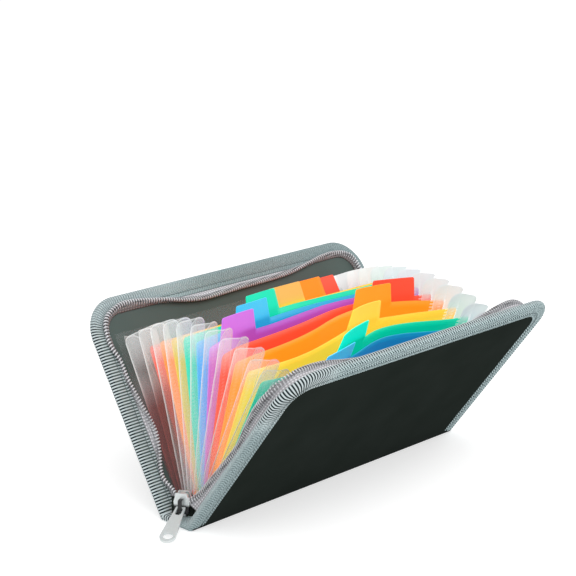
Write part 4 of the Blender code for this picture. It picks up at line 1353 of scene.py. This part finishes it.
# %% [markdown]
# The accordion is glued to each cover by a clear end sheet that lies flat on the lining. It is almost
# invisible, apart from a dark red sheen low on the left of the rear cover, where light comes through the
# first sheet.

# %% End sheets on the linings
BACKING_HALF = 79 * MM
for side in SIDES:
    word = SIDE_NAMES[side]
    rows, opacity, tint = [], [], []
    for up in np.linspace(5 * MM, 84 * MM, 20):
        row = []
        for along in np.linspace(-BACKING_HALF, BACKING_HALF, 60):
            row.append(on_cover(side, along, up, STACK + 0.05 * MM))
            sheen = 1 - smooth_step(along, -76 * MM, -58 * MM)
            sheen *= (1 - smooth_step(up, 30 * MM, 66 * MM)) * (side == REAR)
            opacity.append(0.03 + 0.5 * sheen)
            tint.append(sheen)
        rows.append(row)
    backing = sheet_mesh(f"{word}_clear_backing", rows, FILM)
    give_values(backing, "opacity", opacity)
    give_values(backing, "tint", tint)
    thicken(backing, 0.2 * MM)
    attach(backing, f"{word}_cover")
    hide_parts(f"{word}_end_sheet")
print("backings on, each", len(backing.data.vertices), "points")

# %% [markdown]
# ## Pieces that stay as they were packed
#
# The slider, its puller and bridge, the stops, the boards, the floor strip and the zip's tails are hard or
# small, so the CAD's own solids are right already and only need a finish. The slider is a plated casting
# whose lower half is painted black as shadow: one finish that changes with height does both. Its bridge is
# painted black as shadow too.

# %% Finishes for the CAD pieces that stay
PAINTED_SHADOW_TOP = (8.2 * MM, 9.4 * MM)  # the heights between which the painted black shadow gives way to plating


def metal_with_painted_shadow():
    """Plated metal whose lower half is painted black as shadow."""
    metal = cast_metal()
    height = node(metal, "ShaderNodeSeparateXYZ")
    link(metal, in_space(metal), height.inputs[0])
    above_shadow = sharper(metal, height.outputs[2], *PAINTED_SHADOW_TOP)
    colour = metal.node_tree.nodes["Principled BSDF"].inputs["Base Color"].links[0].from_socket
    # Painted shadow: black on the lower half of the slider.
    to_shader(metal, mix_colours(metal, above_shadow, (0.012, 0.012, 0.014), colour))
    return metal


# The slider's lower half and its bridge are painted black as shadow.
KEPT = {
    "slider_body": metal_with_painted_shadow(), "zip_puller": METAL, "slider_bridge": SHADOW_BLACK,
    "zip_bottom_stop": METAL, "front_zip_top_stop": METAL, "rear_zip_top_stop": METAL,
    "front_cover_board": BOARD, "rear_cover_board": BOARD, "accordion_floor": BOARD,
    "zip_tail_left": OUTER_CLOTH, "zip_tail_right": OUTER_CLOTH,
}
for name, material in KEPT.items():
    mesh = frame["nodes"][name].data
    for slot in range(len(mesh.materials)):
        mesh.materials[slot] = material
print("CAD pieces finished:", len(KEPT))

# %% [markdown]
# ## Studio
#
# The folder stands on a pale floor under large soft lamps. The floor glows a little, so that it stays
# white around the folder and takes only a faint shadow, and the camera sees the world behind it as white.

# %% Floor and world
FLOOR_REACH = 3.0
FLOOR_LEVEL = -0.05 * MM
FLOOR_GLOW = 0.94
places = np.linspace(-FLOOR_REACH, FLOOR_REACH, 5)
floor_rows = [[(x, y, FLOOR_LEVEL) for x in places] for y in places]
floor_white = finish("studio_white", (0.6, 0.6, 0.6), 0.9, FLOOR_GLOW, specular_ior_level=0.0)
floor = sheet_mesh("floor", floor_rows, floor_white)

WORLD_LIGHT = 0.8
world = bpy.data.worlds.new("studio")
bpy.context.scene.world = world
world.use_nodes = True
background = world.node_tree.nodes["Background"]
background.inputs["Color"].default_value = (1, 1, 1, 1)
seen = node(world, "ShaderNodeLightPath").outputs["Is Camera Ray"]
link(world, calc(world, "MULTIPLY_ADD", seen, 1 - WORLD_LIGHT, WORLD_LIGHT), background.inputs["Strength"])
print("floor and world ready")

# %% [markdown]
# Product photographs are lit by large soft boxes. The key light stands high on the camera's side, a weaker
# fill on the right keeps the shaded cover from going black, and the bright world does the rest.

# %% Lamps
def lamp(name, location, target, size, power):
    """A large soft area lamp."""
    light = bpy.data.lights.new(name, "AREA")
    light.size = size
    light.energy = power
    obj = bpy.data.objects.new(name, light)
    obj.location = location
    obj.rotation_euler = (Vector(target) - Vector(location)).to_track_quat("-Z", "Y").to_euler()
    bpy.context.scene.collection.objects.link(obj)


lamp("key", (-0.5, -0.6, 1.1), (0, 0, 0.05), 0.9, 8)
lamp("fill", (1.0, -0.4, 0.7), (0, 0, 0.05), 0.8, 4)
print("lamps ready")

# %% [markdown]
# The camera looks down on the left end of the folder from in front. Its angle, distance and lens were
# found by matching the corners of the case, so the folder fills the frame as in the photograph.

# %% Camera
AZIMUTH = math.radians(-45.65)
ELEVATION = math.radians(15.24)
DISTANCE = 0.8026
SHIFT_RIGHT = -0.01324
SHIFT_UP = 0.08701
LENS = 106.25
SENSOR = 36
back = Vector((math.sin(AZIMUTH) * math.cos(ELEVATION), -math.cos(AZIMUTH) * math.cos(ELEVATION),
               math.sin(ELEVATION)))
right = Vector((math.cos(AZIMUTH), math.sin(AZIMUTH), 0))
above = back.cross(right)
camera = bpy.data.objects.new("camera", bpy.data.cameras.new("camera"))
camera.data.lens = LENS
camera.data.sensor_width = SENSOR
turn = Matrix((right, above, back)).transposed().to_4x4()
camera.matrix_world = Matrix.Translation(back * DISTANCE + right * SHIFT_RIGHT + above * SHIFT_UP) @ turn
scene = bpy.context.scene
scene.collection.objects.link(camera)
scene.camera = camera
scene.view_settings.view_transform = "Standard"
scene.cycles.transparent_max_bounces = 64
print("camera at", [round(value, 3) for value in camera.location])
